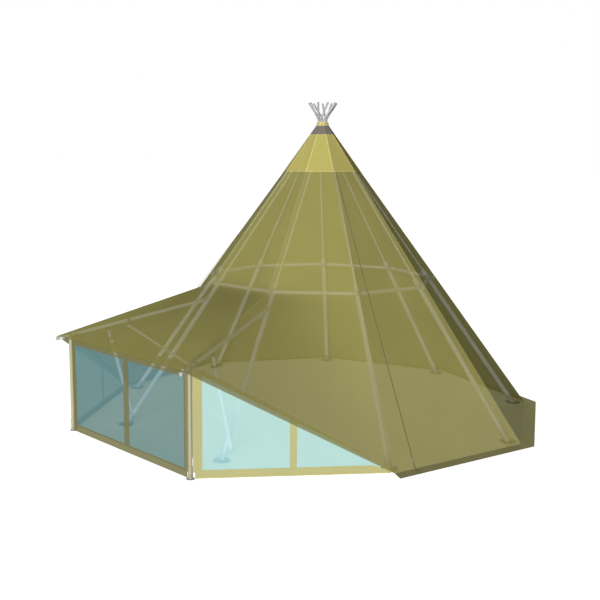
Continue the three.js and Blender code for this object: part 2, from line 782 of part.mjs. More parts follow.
// Brace: a tube slung under the rafters, with a lug up to each
function braceGeometry() {
  const rightAngle = ridgeAngle(rightPole);
  const leftAngle = ridgeAngle(leftPole);
  const rightTop = rafterAt(braceRightReach).applyAxisAngle(straightUp, rightAngle);
  const leftTop = rafterAt(braceLeftReach).applyAxisAngle(straightUp, leftAngle);
  const rightEnd = rightTop.clone();
  rightEnd.z -= braceDropRight + rafterRadius;
  const leftEnd = leftTop.clone();
  leftEnd.z -= braceDropLeft;
  const reach = leftEnd.clone().sub(rightEnd);
  const overhang = reach.clone().setLength(braceOverhang);
  const tubeStart = rightEnd.clone().sub(overhang);
  const tubeEnd = leftEnd.clone().add(overhang);
  const boreStart = tubeStart.clone().sub(overhang);
  const boreEnd = tubeEnd.clone().add(overhang);
  const bore = rodBetween(boreStart, boreEnd, braceRadius - braceWall);
  const tube = rodBetween(tubeStart, tubeEnd, braceRadius);
  const rightLug = rodBetween(rightEnd, rightTop, braceLugRadius);
  const leftLug = rodBetween(leftEnd, leftTop, braceLugRadius);
  const rafters = [rightAngle, leftAngle].map((angle) => rafterTube(seatGap).rotateZ(angle));
  return carve([tube, rightLug, leftLug], [bore, ...rafters]);
}
place('brace_tube', braceGeometry(), aluminium);

// A shell of revolution with flat bays, from rows of [outer, inner, height] ridge radii
function bayShell(rows) {
  const ring = (pick) =>
    rows.map((row) =>
      Array.from({ length: poleCount + 1 }, (_, k) => onRay(ridgeAngle(k + 1), row[pick], row[2])),
    );
  const outer = ring(0);
  const inner = ring(1);
  const points = [...outer.flat(), ...inner.flat()];
  const columns = poleCount + 1;
  const at = (face, i, j) => face * rows.length * columns + i * columns + j;
  const index = [];
  const quad = (a, b, c, d) => index.push(a, b, c, a, c, d);
  for (let j = 0; j < poleCount; j++) {
    for (let i = 0; i + 1 < rows.length; i++) {
      quad(at(0, i, j), at(0, i + 1, j), at(0, i + 1, j + 1), at(0, i, j + 1));
      quad(at(1, i, j), at(1, i, j + 1), at(1, i + 1, j + 1), at(1, i + 1, j));
    }
    const last = rows.length - 1;
    quad(at(0, 0, j), at(0, 0, j + 1), at(1, 0, j + 1), at(1, 0, j));
    quad(at(0, last, j), at(1, last, j), at(1, last, j + 1), at(0, last, j + 1));
  }
  const geometry = new THREE.BufferGeometry();
  geometry.setAttribute('position', new THREE.Float32BufferAttribute(points.flatMap((p) => p.toArray()), 3));
  geometry.setIndex(index);
  return closed(geometry);
}

// Vent net: a band that carries the cover's line on above its top edge
const levelShare = Math.hypot(1, coverSlope * Math.cos(halfBay)) / Math.cos(halfBay);
const netRow = (height) => {
  const clear = (bundleRadius(height) + capClearance / 2) / Math.cos(halfBay);
  const outer = Math.max(coverRadius(height), clear + netThickness * levelShare);
  return [outer, outer - netThickness * levelShare, height];
};
const netLow = coverTop + seatGap;
place('vent_net', bayShell([netRow(netLow), netRow(netLow + netHeight)]), netGrey);

// Vent cap: over the cover and the net, its mouth round the pole bundle
const capRow = (height) => {
  const onCone = coverRadius(height) + seatGap * levelShare;
  const clear = (bundleRadius(height) + capClearance) / Math.cos(halfBay);
  const inner = Math.max(onCone, clear);
  return [inner + capThickness * levelShare, inner, height];
};
const capHem = crossingHeight - capDrop;
const netTop = netRow(netLow + netHeight);
const capShell = [capHem, netLow + netHeight, crossingHeight + capTopRise].map((height) => {
  const row = capRow(height);
  if (height !== netLow + netHeight) return row;
  const inner = Math.max(row[1], netTop[0] + seatGap * levelShare);
  return [inner + capThickness * levelShare, inner, height];
});
place('vent_cap', bayShell(capShell), capYellow);

// Window walls. A wall's plan runs from a start point along a direction; its outline is [along, height].
function wallFrame(start, direction) {
  const x = direction.clone().normalize();
  const z = new THREE.Vector3(0, 0, 1);
  return new THREE.Matrix4().makeBasis(x, z, x.clone().cross(z)).setPosition(start);
}

// A flat sheet with an outline and holes, centred on the wall's plane after an offset
function sheet(outline, holes, thickness, frame, offset, above = []) {
  const slab = (points, depth) => {
    const shape = new THREE.Shape(points.map(([x, y]) => new THREE.Vector2(x, y)));
    const geometry = new THREE.ExtrudeGeometry(shape, { depth, bevelEnabled: false });
    return geometry.translate(0, 0, offset - depth / 2).applyMatrix4(frame);
  };
  const cuts = holes.map((points) => slab(points, 2 * thickness));
  return carve([slab(outline, thickness)], [...cuts, ...above]);
}

const wallEdge = postTubeRadius + kederReach + seatGap;
const notchReach = footPlateRadius + canvas;

// Everything above the canopy's underside, less a clearance: it cuts the walls' top edges
const skyline = raisedPanels.map((grid) => {
  const moved = (rise) => grid.map((row) => row.map((p) => p.clone().setZ(p.z + rise)));
  return shell(moved(crossingHeight), moved(-wallClearance));
});

// Height of the canopy over a wall at a distance along it
function roofOver(start, direction, along) {
  const p = start.clone().addScaledVector(direction, along);
  return canopyUnderside(p.x, p.y);
}

function frontWall() {
  const [right, left] = sides;
  const direction = right.post.clone().sub(left.post);
  const length = direction.length();
  direction.normalize();
  const frame = wallFrame(left.post, direction);
  const over = roofOver(left.post, direction, length / 2) + canvas;
  const shoulder = wallEdge + wallBand / 2;
  const outline = [
    [notchReach, 0],
    [length - notchReach, 0],
    [length - notchReach, wallNotchHeight],
    [length - wallEdge, wallNotchHeight],
    [length - wallEdge, wallHeadHeight],
    [length - shoulder, over],
    [shoulder, over],
    [wallEdge, wallHeadHeight],
    [wallEdge, wallNotchHeight],
    [notchReach, wallNotchHeight],
  ];
  const paneTop = wallHeadHeight - wallTopBand;
  const paneEdges = [
    [wallBand, length / 2 - wallBand / 2],
    [length / 2 + wallBand / 2, length - wallBand],
  ];
  const holes = paneEdges.map(([a, b]) => [[a, wallBottomBand], [a, paneTop], [b, paneTop], [b, wallBottomBand]]);
  place('window_wall_front', sheet(outline, holes, canvas, frame, 0, skyline), wallKhaki);
  const filmEdge = wallBand - filmLap;
  const film = [
    [filmEdge, wallBottomBand - filmLap],
    [length - filmEdge, wallBottomBand - filmLap],
    [length - filmEdge, paneTop + filmLap],
    [filmEdge, paneTop + filmLap],
  ];
  const behind = -(canvas / 2 + seatGap + filmThickness / 2);
  place('window_film_front', sheet(film, [], filmThickness, frame, behind), windowFilm);
}
frontWall();

// A side wall falls from the post to the cover's corner; the panes follow its top edge
function sideWall(at) {
  const direction = at.corner.clone().sub(at.post);
  const length = direction.length() - wallEndClearance;
  direction.normalize();
  const frame = wallFrame(at.post, direction);
  const roof = (along) => roofOver(at.post, direction, along);
  const outline = [
    [notchReach, 0],
    [length, 0],
    [length, roof(length) + sideTopBand],
    [sidePostBand, wallHeadHeight + wallTopBand],
    [wallEdge, wallHeadHeight],
    [wallEdge, wallNotchHeight],
    [notchReach, wallNotchHeight],
  ];
  const fall = (along) => Math.min(wallHeadHeight, roof(along)) - sideTopBand;
  const middle = length / 2;
  const roofSlope = (roof(middle) - roof(length)) / (length - middle);
  const slopeEnd = length - (wallBottomBand + sideTopBand - roof(length)) / roofSlope;
  const paneA = [
    [sidePostBand, wallBottomBand],
    [sidePostBand, fall(sidePostBand)],
    [middle - sideBar / 2, fall(middle - sideBar / 2)],
    [middle - sideBar / 2, wallBottomBand],
  ];
  const paneB = [
    [middle + sideBar / 2, wallBottomBand],
    [middle + sideBar / 2, fall(middle + sideBar / 2)],
    [slopeEnd, wallBottomBand],
  ];
  place(`window_wall_${at.word}`, sheet(outline, [paneA, paneB], canvas, frame, 0, skyline), wallKhaki);
  const film = [
    [sidePostBand - filmLap, wallBottomBand - filmLap],
    [slopeEnd + filmLap, wallBottomBand - filmLap],
    [slopeEnd + filmLap, wallBottomBand],
    [middle + sideBar / 2, fall(middle + sideBar / 2) + filmLap],
    [middle - sideBar / 2, fall(middle - sideBar / 2) + filmLap],
    [sidePostBand - filmLap, fall(sidePostBand) + filmLap],
  ];
  const behind = at.side * (canvas / 2 + seatGap + filmThickness / 2);
  place(`window_film_${at.word}`, sheet(film, [], filmThickness, frame, -behind), windowFilm);
}
for (const at of sides) sideWall(at);

// Door zip on the panel between ridges 7 and 8, over the hem and the flap
const zipPanel = [ridgeAngle(8), ridgeAngle(7)];
function zipPoint(radius, height, offset) {
  const a = onRay(zipPanel[0], radius, height);
  const b = onRay(zipPanel[1], radius, height);
  return a.lerp(b, offset / a.distanceTo(b));
}
const zipTop = capHem - zipCapClearance;
const panelNormal = (() => {
  const a = onRay(zipPanel[0], coverRadius(0), 0);
  const b = onRay(zipPanel[1], coverRadius(0), 0);
  const apex = new THREE.Vector3(0, 0, apexHeight);
  return b.clone().sub(a).cross(apex.sub(a)).normalize();
})();
const zipHem = zipPoint(coverRadius(clothInset), clothInset, zipHemOffset);
const zipHead = zipPoint(coverRadius(zipTop), zipTop, zipTopOffset);
const zipAxis = zipHead.clone().sub(zipHem).normalize();
const zipSide = zipAxis.clone().cross(panelNormal).normalize();
const zipFlapEnd = zipPoint(flapRadius, clothInset, zipHemOffset * (flapRadius / hemRadius));

// The tape's rows lie level, along the hem's fold
function zipGrid(lift) {
  const fold = zipPoint(hemRadius, 0, zipHemOffset).sub(zipPoint(hemRadius, 0, 0)).normalize();
  const across = fold.multiplyScalar(zipWidth / 2 / fold.dot(zipSide));
  const mitre = panelNormal.clone().add(straightUp).multiplyScalar(1 / (1 + panelNormal.dot(straightUp)));
  const rows = [
    [zipHead, panelNormal],
    [zipHem, mitre],
    [zipFlapEnd, straightUp],
  ];
  return rows.map(([point, normal]) =>
    [-1, 1].map((end) => point.clone().addScaledVector(across, end).addScaledVector(normal, lift)),
  );
}
place('zip_tape', shell(zipGrid(seatGap + zipThickness), zipGrid(seatGap)), zipBlack);

// Slider with its pull tab, on the zip
function zipSliderGeometry() {
  const share = sliderHeight / zipAxis.z;
  const origin = zipHem.clone().addScaledVector(zipAxis, share);
  origin.addScaledVector(panelNormal, 2 * seatGap + zipThickness);
  const frame = new THREE.Matrix4().makeBasis(zipSide, zipAxis, zipSide.clone().cross(zipAxis));
  frame.setPosition(origin);
  const body = new THREE.Shape();
  body.moveTo(-sliderWidth / 2, sliderLength / 2);
  body.quadraticCurveTo(-sliderWidth / 2, -sliderLength / 2, 0, -sliderLength / 2);
  body.quadraticCurveTo(sliderWidth / 2, -sliderLength / 2, sliderWidth / 2, sliderLength / 2);
  const block = new THREE.ExtrudeGeometry(body, { depth: sliderThickness, bevelEnabled: false, curveSegments: 4 });
  const pull = new THREE.BoxGeometry(pullWidth, pullLength, pullThickness);
  pull.translate(0, -pullLength / 2, sliderThickness);
  return carve([block.applyMatrix4(frame), pull.applyMatrix4(frame)]);
}
place('zip_slider', zipSliderGeometry(), steel);

// Vent cord: taut from the cap's skirt to the canopy's left ridge
function ventCordGeometry() {
  const cordHigh = capHem + cordTopRise;
  const topRadius = capRow(cordHigh)[0] + (cordRadius + seatGap) * Math.hypot(1, coverSlope);
  const top = onRay(ridgeAngle(leftPole), topRadius, cordHigh);
  const landing = raisedLine.findIndex((p) => p[0] > cordReach);
  const [a, b] = [raisedLine[landing - 1], raisedLine[landing]];
  const surface = a[1] + ((b[1] - a[1]) * (cordReach - a[0])) / (b[0] - a[0]);
  const low = onRay(ridgeAngle(leftPole), cordReach, surface + cordRadius + 2 * seatGap);
  const path = new THREE.LineCurve3(low, top);
  const points = Array.from({ length: cordSides }, (_, i) => {
    const turn = (2 * Math.PI * i) / cordSides;
    return new THREE.Vector2(cordRadius * Math.cos(turn), cordRadius * Math.sin(turn));
  });
  const outline = new THREE.Shape(points);
  return closed(new THREE.ExtrudeGeometry(outline, { steps: cordSteps, extrudePath: path, bevelEnabled: false }));
}
place('vent_cord', ventCordGeometry(), cordGrey);

// The origin is the middle of the plan's box, on the ground
const box = new THREE.Box3().setFromObject(tent, true);
tent.position.y = -(box.min.y + box.max.y) / 2;
tent.updateMatrixWorld(true);

export default tent;
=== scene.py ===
import math

import bmesh
import bpy
from mathutils import Matrix, Vector, noise
from mathutils.bvhtree import BVHTree


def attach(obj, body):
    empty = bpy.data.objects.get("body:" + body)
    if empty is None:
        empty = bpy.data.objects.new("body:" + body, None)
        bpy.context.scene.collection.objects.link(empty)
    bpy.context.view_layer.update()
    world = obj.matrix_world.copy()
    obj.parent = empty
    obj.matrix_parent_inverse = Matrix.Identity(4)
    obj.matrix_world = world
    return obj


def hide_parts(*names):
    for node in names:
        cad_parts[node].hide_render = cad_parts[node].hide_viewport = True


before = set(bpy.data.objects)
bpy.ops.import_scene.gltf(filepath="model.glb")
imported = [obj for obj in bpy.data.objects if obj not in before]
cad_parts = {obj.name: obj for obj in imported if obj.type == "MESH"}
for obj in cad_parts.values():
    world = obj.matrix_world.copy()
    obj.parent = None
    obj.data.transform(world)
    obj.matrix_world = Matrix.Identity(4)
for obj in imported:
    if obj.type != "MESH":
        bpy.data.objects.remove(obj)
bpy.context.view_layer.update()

# Camera
# A long lens on a slight rise, looking past the raised side from its right.
# The frame is shifted a little, because the tent stands right of the lens axis.
plan_shift = 0.298758


def add_object(name, data):
    item = bpy.data.objects.new(name, data)
    bpy.context.scene.collection.objects.link(item)
    return item


camera_data = bpy.data.cameras.new("camera")
camera_data.lens = 54.89
camera_data.sensor_width = 36.0
camera_data.shift_x = 0.1167
camera_data.shift_y = 0.0333
camera = add_object("camera", camera_data)
camera_place = Vector((15.419, -16.526 + plan_shift, 6.264))
camera_aim = Vector((-0.7386, 0.6497, -0.1799))
camera_turn = camera_aim.to_track_quat("-Z", "Y").to_matrix().to_4x4()
camera.matrix_world = Matrix.Translation(camera_place) @ camera_turn
bpy.context.scene.camera = camera
bpy.context.scene.view_settings.view_transform = "Standard"

# Vent cord
# A thin braided cord, knotted in an eyelet in the cap's skirt and pulled tight to an eyelet on the canopy's
# left ridge. It lies in the plane of pole 1.
bay_turn = math.radians(40)
front_pole_turn = math.radians(-110)
left_pole = 1


def bay_place(pole):
    turn = front_pole_turn - bay_turn * (pole - 1)
    return Matrix.Translation((0, plan_shift, 0)) @ Matrix.Rotation(turn, 4, "Z")


def ridge_point(pole, radius, height):
    return bay_place(pole) @ Vector((radius, 0, height))


cord_diameter = 0.010
cord_points = 24
cord_top = ridge_point(left_pole, 0.9264, 5.860)
cord_low = ridge_point(left_pole, 3.2000, 3.1482)
cord_run = (cord_low - cord_top).normalized()

cord_curve = bpy.data.curves.new("vent_cord_line", "CURVE")
cord_curve.dimensions = "3D"
cord_curve.bevel_depth = cord_diameter / 2
cord_curve.bevel_resolution = 3
cord_curve.use_fill_caps = True
cord_spline = cord_curve.splines.new("POLY")
cord_spline.points.add(cord_points - 1)
for step, point in enumerate(cord_spline.points):
    point.co = (*cord_top.lerp(cord_low, step / (cord_points - 1)), 1)
vent_cord_line = add_object("vent_cord_line", cord_curve)


def new_material(name):
    material = bpy.data.materials.new(name)
    material.use_nodes = True
    return material, material.node_tree, material.node_tree.nodes["Principled BSDF"]


def feed(tree, node, values):
    for name, value in values.items():
        if isinstance(value, bpy.types.NodeSocket):
            tree.links.new(value, node.inputs[name])
        else:
            node.inputs[name].default_value = value
    return node


def add_node(tree, kind, values, **settings):
    node = tree.nodes.new(f"ShaderNode{kind}")
    for name, setting in settings.items():
        setattr(node, name, setting)
    return feed(tree, node, values).outputs


def on_object(tree):
    return add_node(tree, "TexCoord", {})["Object"]


def pattern(tree, kind, place, values, **settings):
    return add_node(tree, f"Tex{kind}", {"Vector": place, **values}, **settings)["Fac"]


def two_tones(tree, share, first, second, places=(0.0, 1.0)):
    ramp = tree.nodes.new("ShaderNodeValToRGB")
    tree.links.new(share, ramp.inputs["Fac"])
    for element, tone, place in zip(ramp.color_ramp.elements, (first, second), places):
        element.color = (*tone, 1)
        element.position = place
    return ramp.outputs["Color"]


def frame_along(start, direction):
    return Matrix.Translation(start) @ direction.to_track_quat("Z", "X").to_matrix().to_4x4()


def turn_profile(mesh, profile, place, sides=36):
    layer = mesh.loops.layers.uv.get("draw") or mesh.loops.layers.uv.new("draw")
    old_verts, old_faces = set(mesh.verts), set(mesh.faces)
    line = [mesh.verts.new((radius, 0, height)) for radius, height in profile]
    edges = [mesh.edges.new(pair) for pair in zip(line, line[1:])]
    bmesh.ops.spin(
        mesh, geom=line + edges, cent=(0, 0, 0), axis=(0, 0, 1), angle=math.tau, steps=sides, use_merge=True
    )
    bmesh.ops.remove_doubles(mesh, verts=[v for v in mesh.verts if v not in old_verts], dist=1e-5)
    new_verts = [v for v in mesh.verts if v not in old_verts]
    new_faces = [f for f in mesh.faces if f not in old_faces]
    for face in new_faces:
        middle = face.calc_center_median()
        for loop in face.loops:
            spot = loop.vert.co
            turn = math.atan2(middle.x * spot.y - middle.y * spot.x, middle.x * spot.x + middle.y * spot.y)
            around = math.atan2(middle.y, middle.x) + turn
            loop[layer].uv = (around * middle.xy.length, spot.z)
    bmesh.ops.recalc_face_normals(mesh, faces=new_faces)
    bmesh.ops.transform(mesh, matrix=place, verts=new_verts)


def finish_piece(name, mesh, materials, body, replaced=(), crease=35):
    for edge in mesh.edges:
        if len(edge.link_faces) == 2 and edge.calc_face_angle(0) > math.radians(crease):
            edge.smooth = False
    for face in mesh.faces:
        face.smooth = True
    data = bpy.data.meshes.new(name)
    mesh.to_mesh(data)
    mesh.free()
    for material in materials:
        data.materials.append(material)
    piece = add_object(name, data)
    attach(piece, body)
    if replaced:
        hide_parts(*replaced)
    return piece


cord_braid, tree, shader = new_material("cord braid")
plait = pattern(tree, "Wave", on_object(tree), {"Scale": 60.0, "Distortion": 1.5}, bands_direction="DIAGONAL")
braid_tones = two_tones(tree, plait, (0.072, 0.072, 0.078), (0.12, 0.12, 0.13))
braid_normal = add_node(tree, "Bump", {"Height": plait, "Distance": 0.001})["Normal"]
feed(tree, shader, {"Base Color": braid_tones, "Normal": braid_normal, "Roughness": 0.8})
cord_curve.materials.append(cord_braid)

cap_rise = Vector((0.806, 0, 0.592))
canopy_rise = Vector((0.264, 0, 0.965))
mesh = bmesh.new()
for end, run, rise in ((cord_top, cord_run, cap_rise), (cord_low, -cord_run, canopy_rise)):
    for middle in (0.006, 0.014, 0.022):
        winding = [(0.0040, middle - 0.004), (0.0105, middle - 0.003), (0.0115, middle)]
        winding += [(0.0105, middle + 0.003), (0.0040, middle + 0.004)]
        turn_profile(mesh, winding, frame_along(end, run), sides=20)
    into_eyelet = [(0.0045, 0.006), (0.0045, -0.012), (0, -0.012)]
    turn_profile(mesh, into_eyelet, frame_along(end, bay_place(left_pole).to_3x3() @ rise), sides=16)
cord_knots = finish_piece("cord_knots", mesh, (cord_braid,), "tent", crease=60)
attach(vent_cord_line, "tent")
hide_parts("vent_cord")

# Ground and light
# A white studio floor and white surroundings, with painted shade where they are seen through cloth or film:
# there the surroundings dim and the floor turns dark olive. A low, soft key lamp stands on the right of the
# raised side, and a wider one behind the tent lights its far side.
world = bpy.data.worlds.new("studio")
bpy.context.scene.world = world
world.use_nodes = True


def compute(tree, operation, *values):
    return add_node(tree, "Math", dict(enumerate(values)), operation=operation)[0]


def map_range(tree, value, low, high, span=(0.0, 1.0), **settings):
    values = {"Value": value, "From Min": span[0], "From Max": span[1], "To Min": low, "To Max": high}
    return add_node(tree, "MapRange", values, **settings)["Result"]


def seen_directly(tree, rays):
    seen = rays["Is Camera Ray"]
    for kind in ("Is Glossy Ray", "Is Transmission Ray"):
        seen = compute(tree, "MAXIMUM", seen, rays[kind])
    return seen


tree = world.node_tree
rays = add_node(tree, "LightPath", {})
# Painted shade: the white surroundings drop to a fifth of their level where they are seen through cloth or
# film.
painted_shade_factor = map_range(tree, rays["Transparent Depth"], 1.0, 0.2)
sky_level = map_range(tree, compute(tree, "MULTIPLY", seen_directly(tree, rays), painted_shade_factor), 0.10, 1.0)
feed(tree, tree.nodes["Background"], {"Color": (1, 1, 1, 1), "Strength": sky_level})


def studio_lamp(name, turn, rise, strength, spread):
    data = bpy.data.lights.new(name, "SUN")
    data.energy = strength
    data.angle = math.radians(spread)
    turn, rise = math.radians(turn), math.radians(rise)
    towards = Vector((math.cos(turn) * math.cos(rise), math.sin(turn) * math.cos(rise), math.sin(rise)))
    add_object(name, data).matrix_world = towards.to_track_quat("Z", "Y").to_matrix().to_4x4()


studio_lamp("key lamp", -59, 7, 3.8, 20)
studio_lamp("far lamp", 140, 8, 2.2, 40)

floor_size = 400.0
floor_mesh = bmesh.new()
bmesh.ops.create_grid(floor_mesh, x_segments=1, y_segments=1, size=floor_size / 2)
floor_data = bpy.data.meshes.new("studio_floor")
floor_mesh.to_mesh(floor_data)
floor_mesh.free()
studio_floor = add_object("studio_floor", floor_data)
studio_floor.location.z = -0.002
floor_white, tree, shader = new_material("studio floor")
tree.nodes.remove(shader)
rays = add_node(tree, "LightPath", {})
# Painted shade: the floor's glow turns dark olive where it is seen through cloth or film.
floor_painted_shade_tone = two_tones(tree, rays["Transparent Depth"], (1, 1, 1), (0.28, 0.265, 0.13))
floor_level = map_range(tree, seen_directly(tree, rays), 0.0, 0.86)
glow = add_node(tree, "Emission", {"Color": floor_painted_shade_tone, "Strength": floor_level})["Emission"]
matte = add_node(tree, "BsdfDiffuse", {"Color": (0.8, 0.8, 0.8, 1)})["BSDF"]
both = add_node(tree, "AddShader", {0: matte, 1: glow})["Shader"]
feed(tree, tree.nodes["Material Output"], {"Surface": both})
floor_data.materials.append(floor_white)

# Lower poles
# Nine thick drawn aluminium tubes. Each stands in a cast socket on a round, blackened steel foot plate and
# ends in a turned mouth with a clamp screw, where the upper pole slides in.
pole_foot = Vector((5.0, 0, 0))
pole_cross = Vector((0, 0.08811, 6.98))
pole_axis = (pole_cross - pole_foot).normalized()
ring_height = 3.230
lower_radius = 0.055
mouth_above_ring = 0.220
guide_radius = 0.0243
socket_radius = 0.074
socket_length = 0.270
plate_radius = 0.180
plate_thickness = 0.012
foot_bolt_circle = 0.140
prop_pin_height = 0.250
prop_offset = 0.124
prop_eye_width = 0.050
prop_pin_radius = 0.014
right_pole = 9


def along_pole(height):
    return height / pole_axis.z


def pole_at(height):
    return pole_foot + pole_axis * along_pole(height)


def rod_profile(radius, start, end, rim=0.002):
    low = [(0, start), (radius - rim, start), (radius, start + rim)]
    return low + [(radius, end - rim), (radius - rim, end), (0, end)]


def hex_bolt(mesh, place, radius=0.012, height=0.008):
    head = [(0, 0), (radius, 0), (radius, height * 0.8), (radius * 0.9, height), (0, height)]
    turn_profile(mesh, head, place, sides=6)


def bolt_circle(mesh, place, circle, count, first_turn, *bolt):
    for index in range(count):
        turn = math.radians(first_turn + 360 / count * index)
        spot = Vector((circle * math.cos(turn), circle * math.sin(turn), 0))
        hex_bolt(mesh, place @ Matrix.Translation(spot), *bolt)


def paint(mesh, choose):
    for index, face in enumerate(mesh.faces):
        face.material_index = int(choose(index, face.calc_center_median()))


def on_surface(tree, layer):
    return add_node(tree, "UVMap", {}, uv_map=layer)["UV"]


def new_group(name, colors, numbers):
    group = bpy.data.node_groups.new(name, "ShaderNodeTree")
    for color in colors:
        group.interface.new_socket(color, in_out="INPUT", socket_type="NodeSocketColor")
    for number, value in numbers.items():
        socket = group.interface.new_socket(number, in_out="INPUT", socket_type="NodeSocketFloat")
        socket.default_value = value
    for out, kind in (("Color", "Color"), ("Roughness", "Float"), ("Normal", "Vector")):
        group.interface.new_socket(out, in_out="OUTPUT", socket_type=f"NodeSocket{kind}")
    return group, group.nodes.new("NodeGroupInput").outputs, group.nodes.new("NodeGroupOutput")


def scaled(tree, color, share):
    return add_node(tree, "VectorMath", {0: color, "Scale": share}, operation="SCALE")[0]


metal_numbers = {"Streaks": 0.10, "Roughness": 0.40, "Dust": 0.25}
drawn_metal, given, result = new_group("drawn metal", ["Color"], metal_numbers)
tree = drawn_metal
drawn_lines = add_node(tree, "Mapping", {"Vector": on_surface(tree, "draw"), "Scale": (300, 3, 1)})["Vector"]
grain = pattern(tree, "Noise", drawn_lines, {"Scale": 1.0, "Detail": 4.0})
smudge = pattern(tree, "Noise", on_object(tree), {"Scale": 7.0, "Detail": 5.0})
height = add_node(tree, "SeparateXYZ", {"Vector": on_object(tree)})["Z"]
near_ground = map_range(tree, height, 0.0, 1.0, span=(0.30, 0.0))
dust = compute(tree, "MULTIPLY", compute(tree, "MULTIPLY", near_ground, smudge), given["Dust"])
loss = compute(tree, "ADD", compute(tree, "MULTIPLY", grain, given["Streaks"]), dust)
metal_looks = {"Color": scaled(tree, given["Color"], compute(tree, "SUBTRACT", 1.0, loss))}
metal_looks["Roughness"] = compute(tree, "ADD", given["Roughness"], loss)
bump = {"Height": grain, "Strength": 0.05, "Distance": 0.0003}
metal_looks["Normal"] = add_node(tree, "Bump", bump)["Normal"]
feed(tree, result, metal_looks)


def coat(tree, shader, group, values):
    finish = add_node(tree, "Group", values, node_tree=group)
    looks = {"Base Color": "Color", "Roughness": "Roughness", "Normal": "Normal"}
    feed(tree, shader, {socket: finish[out] for socket, out in looks.items()})


def metal_material(name, color, roughness, metallic, streaks=0.10, glow=0.0):
    material, tree, shader = new_material(name)
    values = {"Color": (*color, 1), "Roughness": roughness, "Streaks": streaks, "Dust": 0.25}
    coat(tree, shader, drawn_metal, values)
    # A glow above zero is painted light: an emission in the metal's own colour.
    feed(tree, shader, {"Metallic": metallic, "Emission Color": (*color, 1), "Emission Strength": glow})
    return material


# Painted light: the drawn aluminium glows faintly in its own colour, so the tubes stay bright inside the
# cover.
tube_metal = metal_material("drawn aluminium", (0.60, 0.60, 0.59), 0.50, 0.08, glow=0.32)
cast_metal = metal_material("cast aluminium", (0.62, 0.62, 0.61), 0.55, 0.20, streaks=0.04)
bolt_metal = metal_material("bolt steel", (0.36, 0.36, 0.37), 0.35, 0.8, streaks=0.02)
dark_steel = metal_material("blackened steel", (0.09, 0.09, 0.085), 0.55, 0.2, streaks=0.03)

ring_along = along_pole(ring_height)
mouth_along = ring_along + mouth_above_ring
mouth_profile = [
    (lower_radius, 0.0), (lower_radius, mouth_along - 0.018), (lower_radius - 0.003, mouth_along - 0.012),
    (guide_radius + 0.012, mouth_along - 0.002), (guide_radius + 0.009, mouth_along),
    (guide_radius, mouth_along), (guide_radius, mouth_along - 0.090),
]
socket_waist = socket_radius - 0.005
socket_profile = [
    (socket_radius, 0.0), (socket_radius, 0.060), (socket_waist, 0.075),
    (socket_waist, socket_length - 0.045), (socket_radius, socket_length - 0.035),
    (socket_radius, socket_length - 0.004),
    (socket_radius - 0.004, socket_length), (lower_radius, socket_length),
]
for pole in range(1, 10):
    mesh = bmesh.new()
    bay = bay_place(pole)
    on_pole = bay @ frame_along(pole_foot, pole_axis)
    turn_profile(mesh, mouth_profile, on_pole)
    turn_profile(mesh, socket_profile, on_pole)
    bmesh.ops.bisect_plane(
        mesh,
        geom=mesh.verts[:] + mesh.edges[:] + mesh.faces[:],
        plane_co=(0, 0, plate_thickness / 2),
        plane_no=(0, 0, -1),
        clear_outer=True,
    )
    plate = rod_profile(plate_radius, 0, plate_thickness, 0.003)
    turn_profile(mesh, plate, bay @ Matrix.Translation(pole_foot), sides=48)
    cast_faces = len(mesh.faces)
    plate_top = pole_foot + Vector((0, 0, plate_thickness))
    bolt_circle(mesh, bay @ Matrix.Translation(plate_top), foot_bolt_circle, 4, 45)
    for share in (0.45, 0.75):
        through = pole_foot + pole_axis * socket_length * share + Vector((0, -socket_radius, 0))
        hex_bolt(mesh, bay @ frame_along(through, Vector((0, -1, 0))))
    clamp = pole_foot + pole_axis * (mouth_along - 0.045)
    outwards = Vector((pole_axis.z, 0, -pole_axis.x))
    hex_bolt(mesh, bay @ frame_along(clamp + outwards * lower_radius, outwards), 0.010, 0.014)
    if pole in (right_pole, left_pole):
        pin = rod_profile(prop_pin_radius, 0, prop_offset + prop_eye_width)
        beside = Vector((0, 1 if pole == right_pole else -1, 0))
        turn_profile(mesh, pin, bay @ frame_along(pole_at(prop_pin_height), beside), sides=24)

    def lower_metal(index, middle):
        if index >= cast_faces:
            return 2
        if middle.z < plate_thickness + 0.0005:
            return 3
        reach = (bay.inverted() @ middle) - pole_foot
        return (reach - pole_axis * reach.dot(pole_axis)).length > lower_radius + 0.0005

    paint(mesh, lower_metal)
    metals = (tube_metal, cast_metal, bolt_metal, dark_steel)
    finish_piece(f"lower_tube_{pole}", mesh, metals, "tent", [f"lower_pole_{pole}"])

# Upper poles
# Nine slim tubes that slide in the lower ones, cross just above the cover and end in rounded plugs.
# The part that hides inside the lower pole is modelled too, because it shows when the pole is drawn out.
upper_radius = 0.024
pole_overlap = 0.800
tip_length = 0.560
plug_length = 0.030
plug_radius = upper_radius - 0.001
cross_along = (pole_cross - pole_foot).length
tip_along = cross_along + tip_length
plug_start = tip_along - plug_length
upper_start = mouth_along - pole_overlap
plug_rubber, tree, shader = new_material("pole plug")
mottle = pattern(tree, "Noise", on_object(tree), {"Scale": 160.0})
plug_tones = two_tones(tree, mottle, (0.26, 0.25, 0.27), (0.36, 0.35, 0.37))
feed(tree, shader, {"Base Color": plug_tones, "Roughness": 0.6})
tip_metal = metal_material("weathered aluminium", (0.46, 0.44, 0.46), 0.55, 0.10, streaks=0.03)

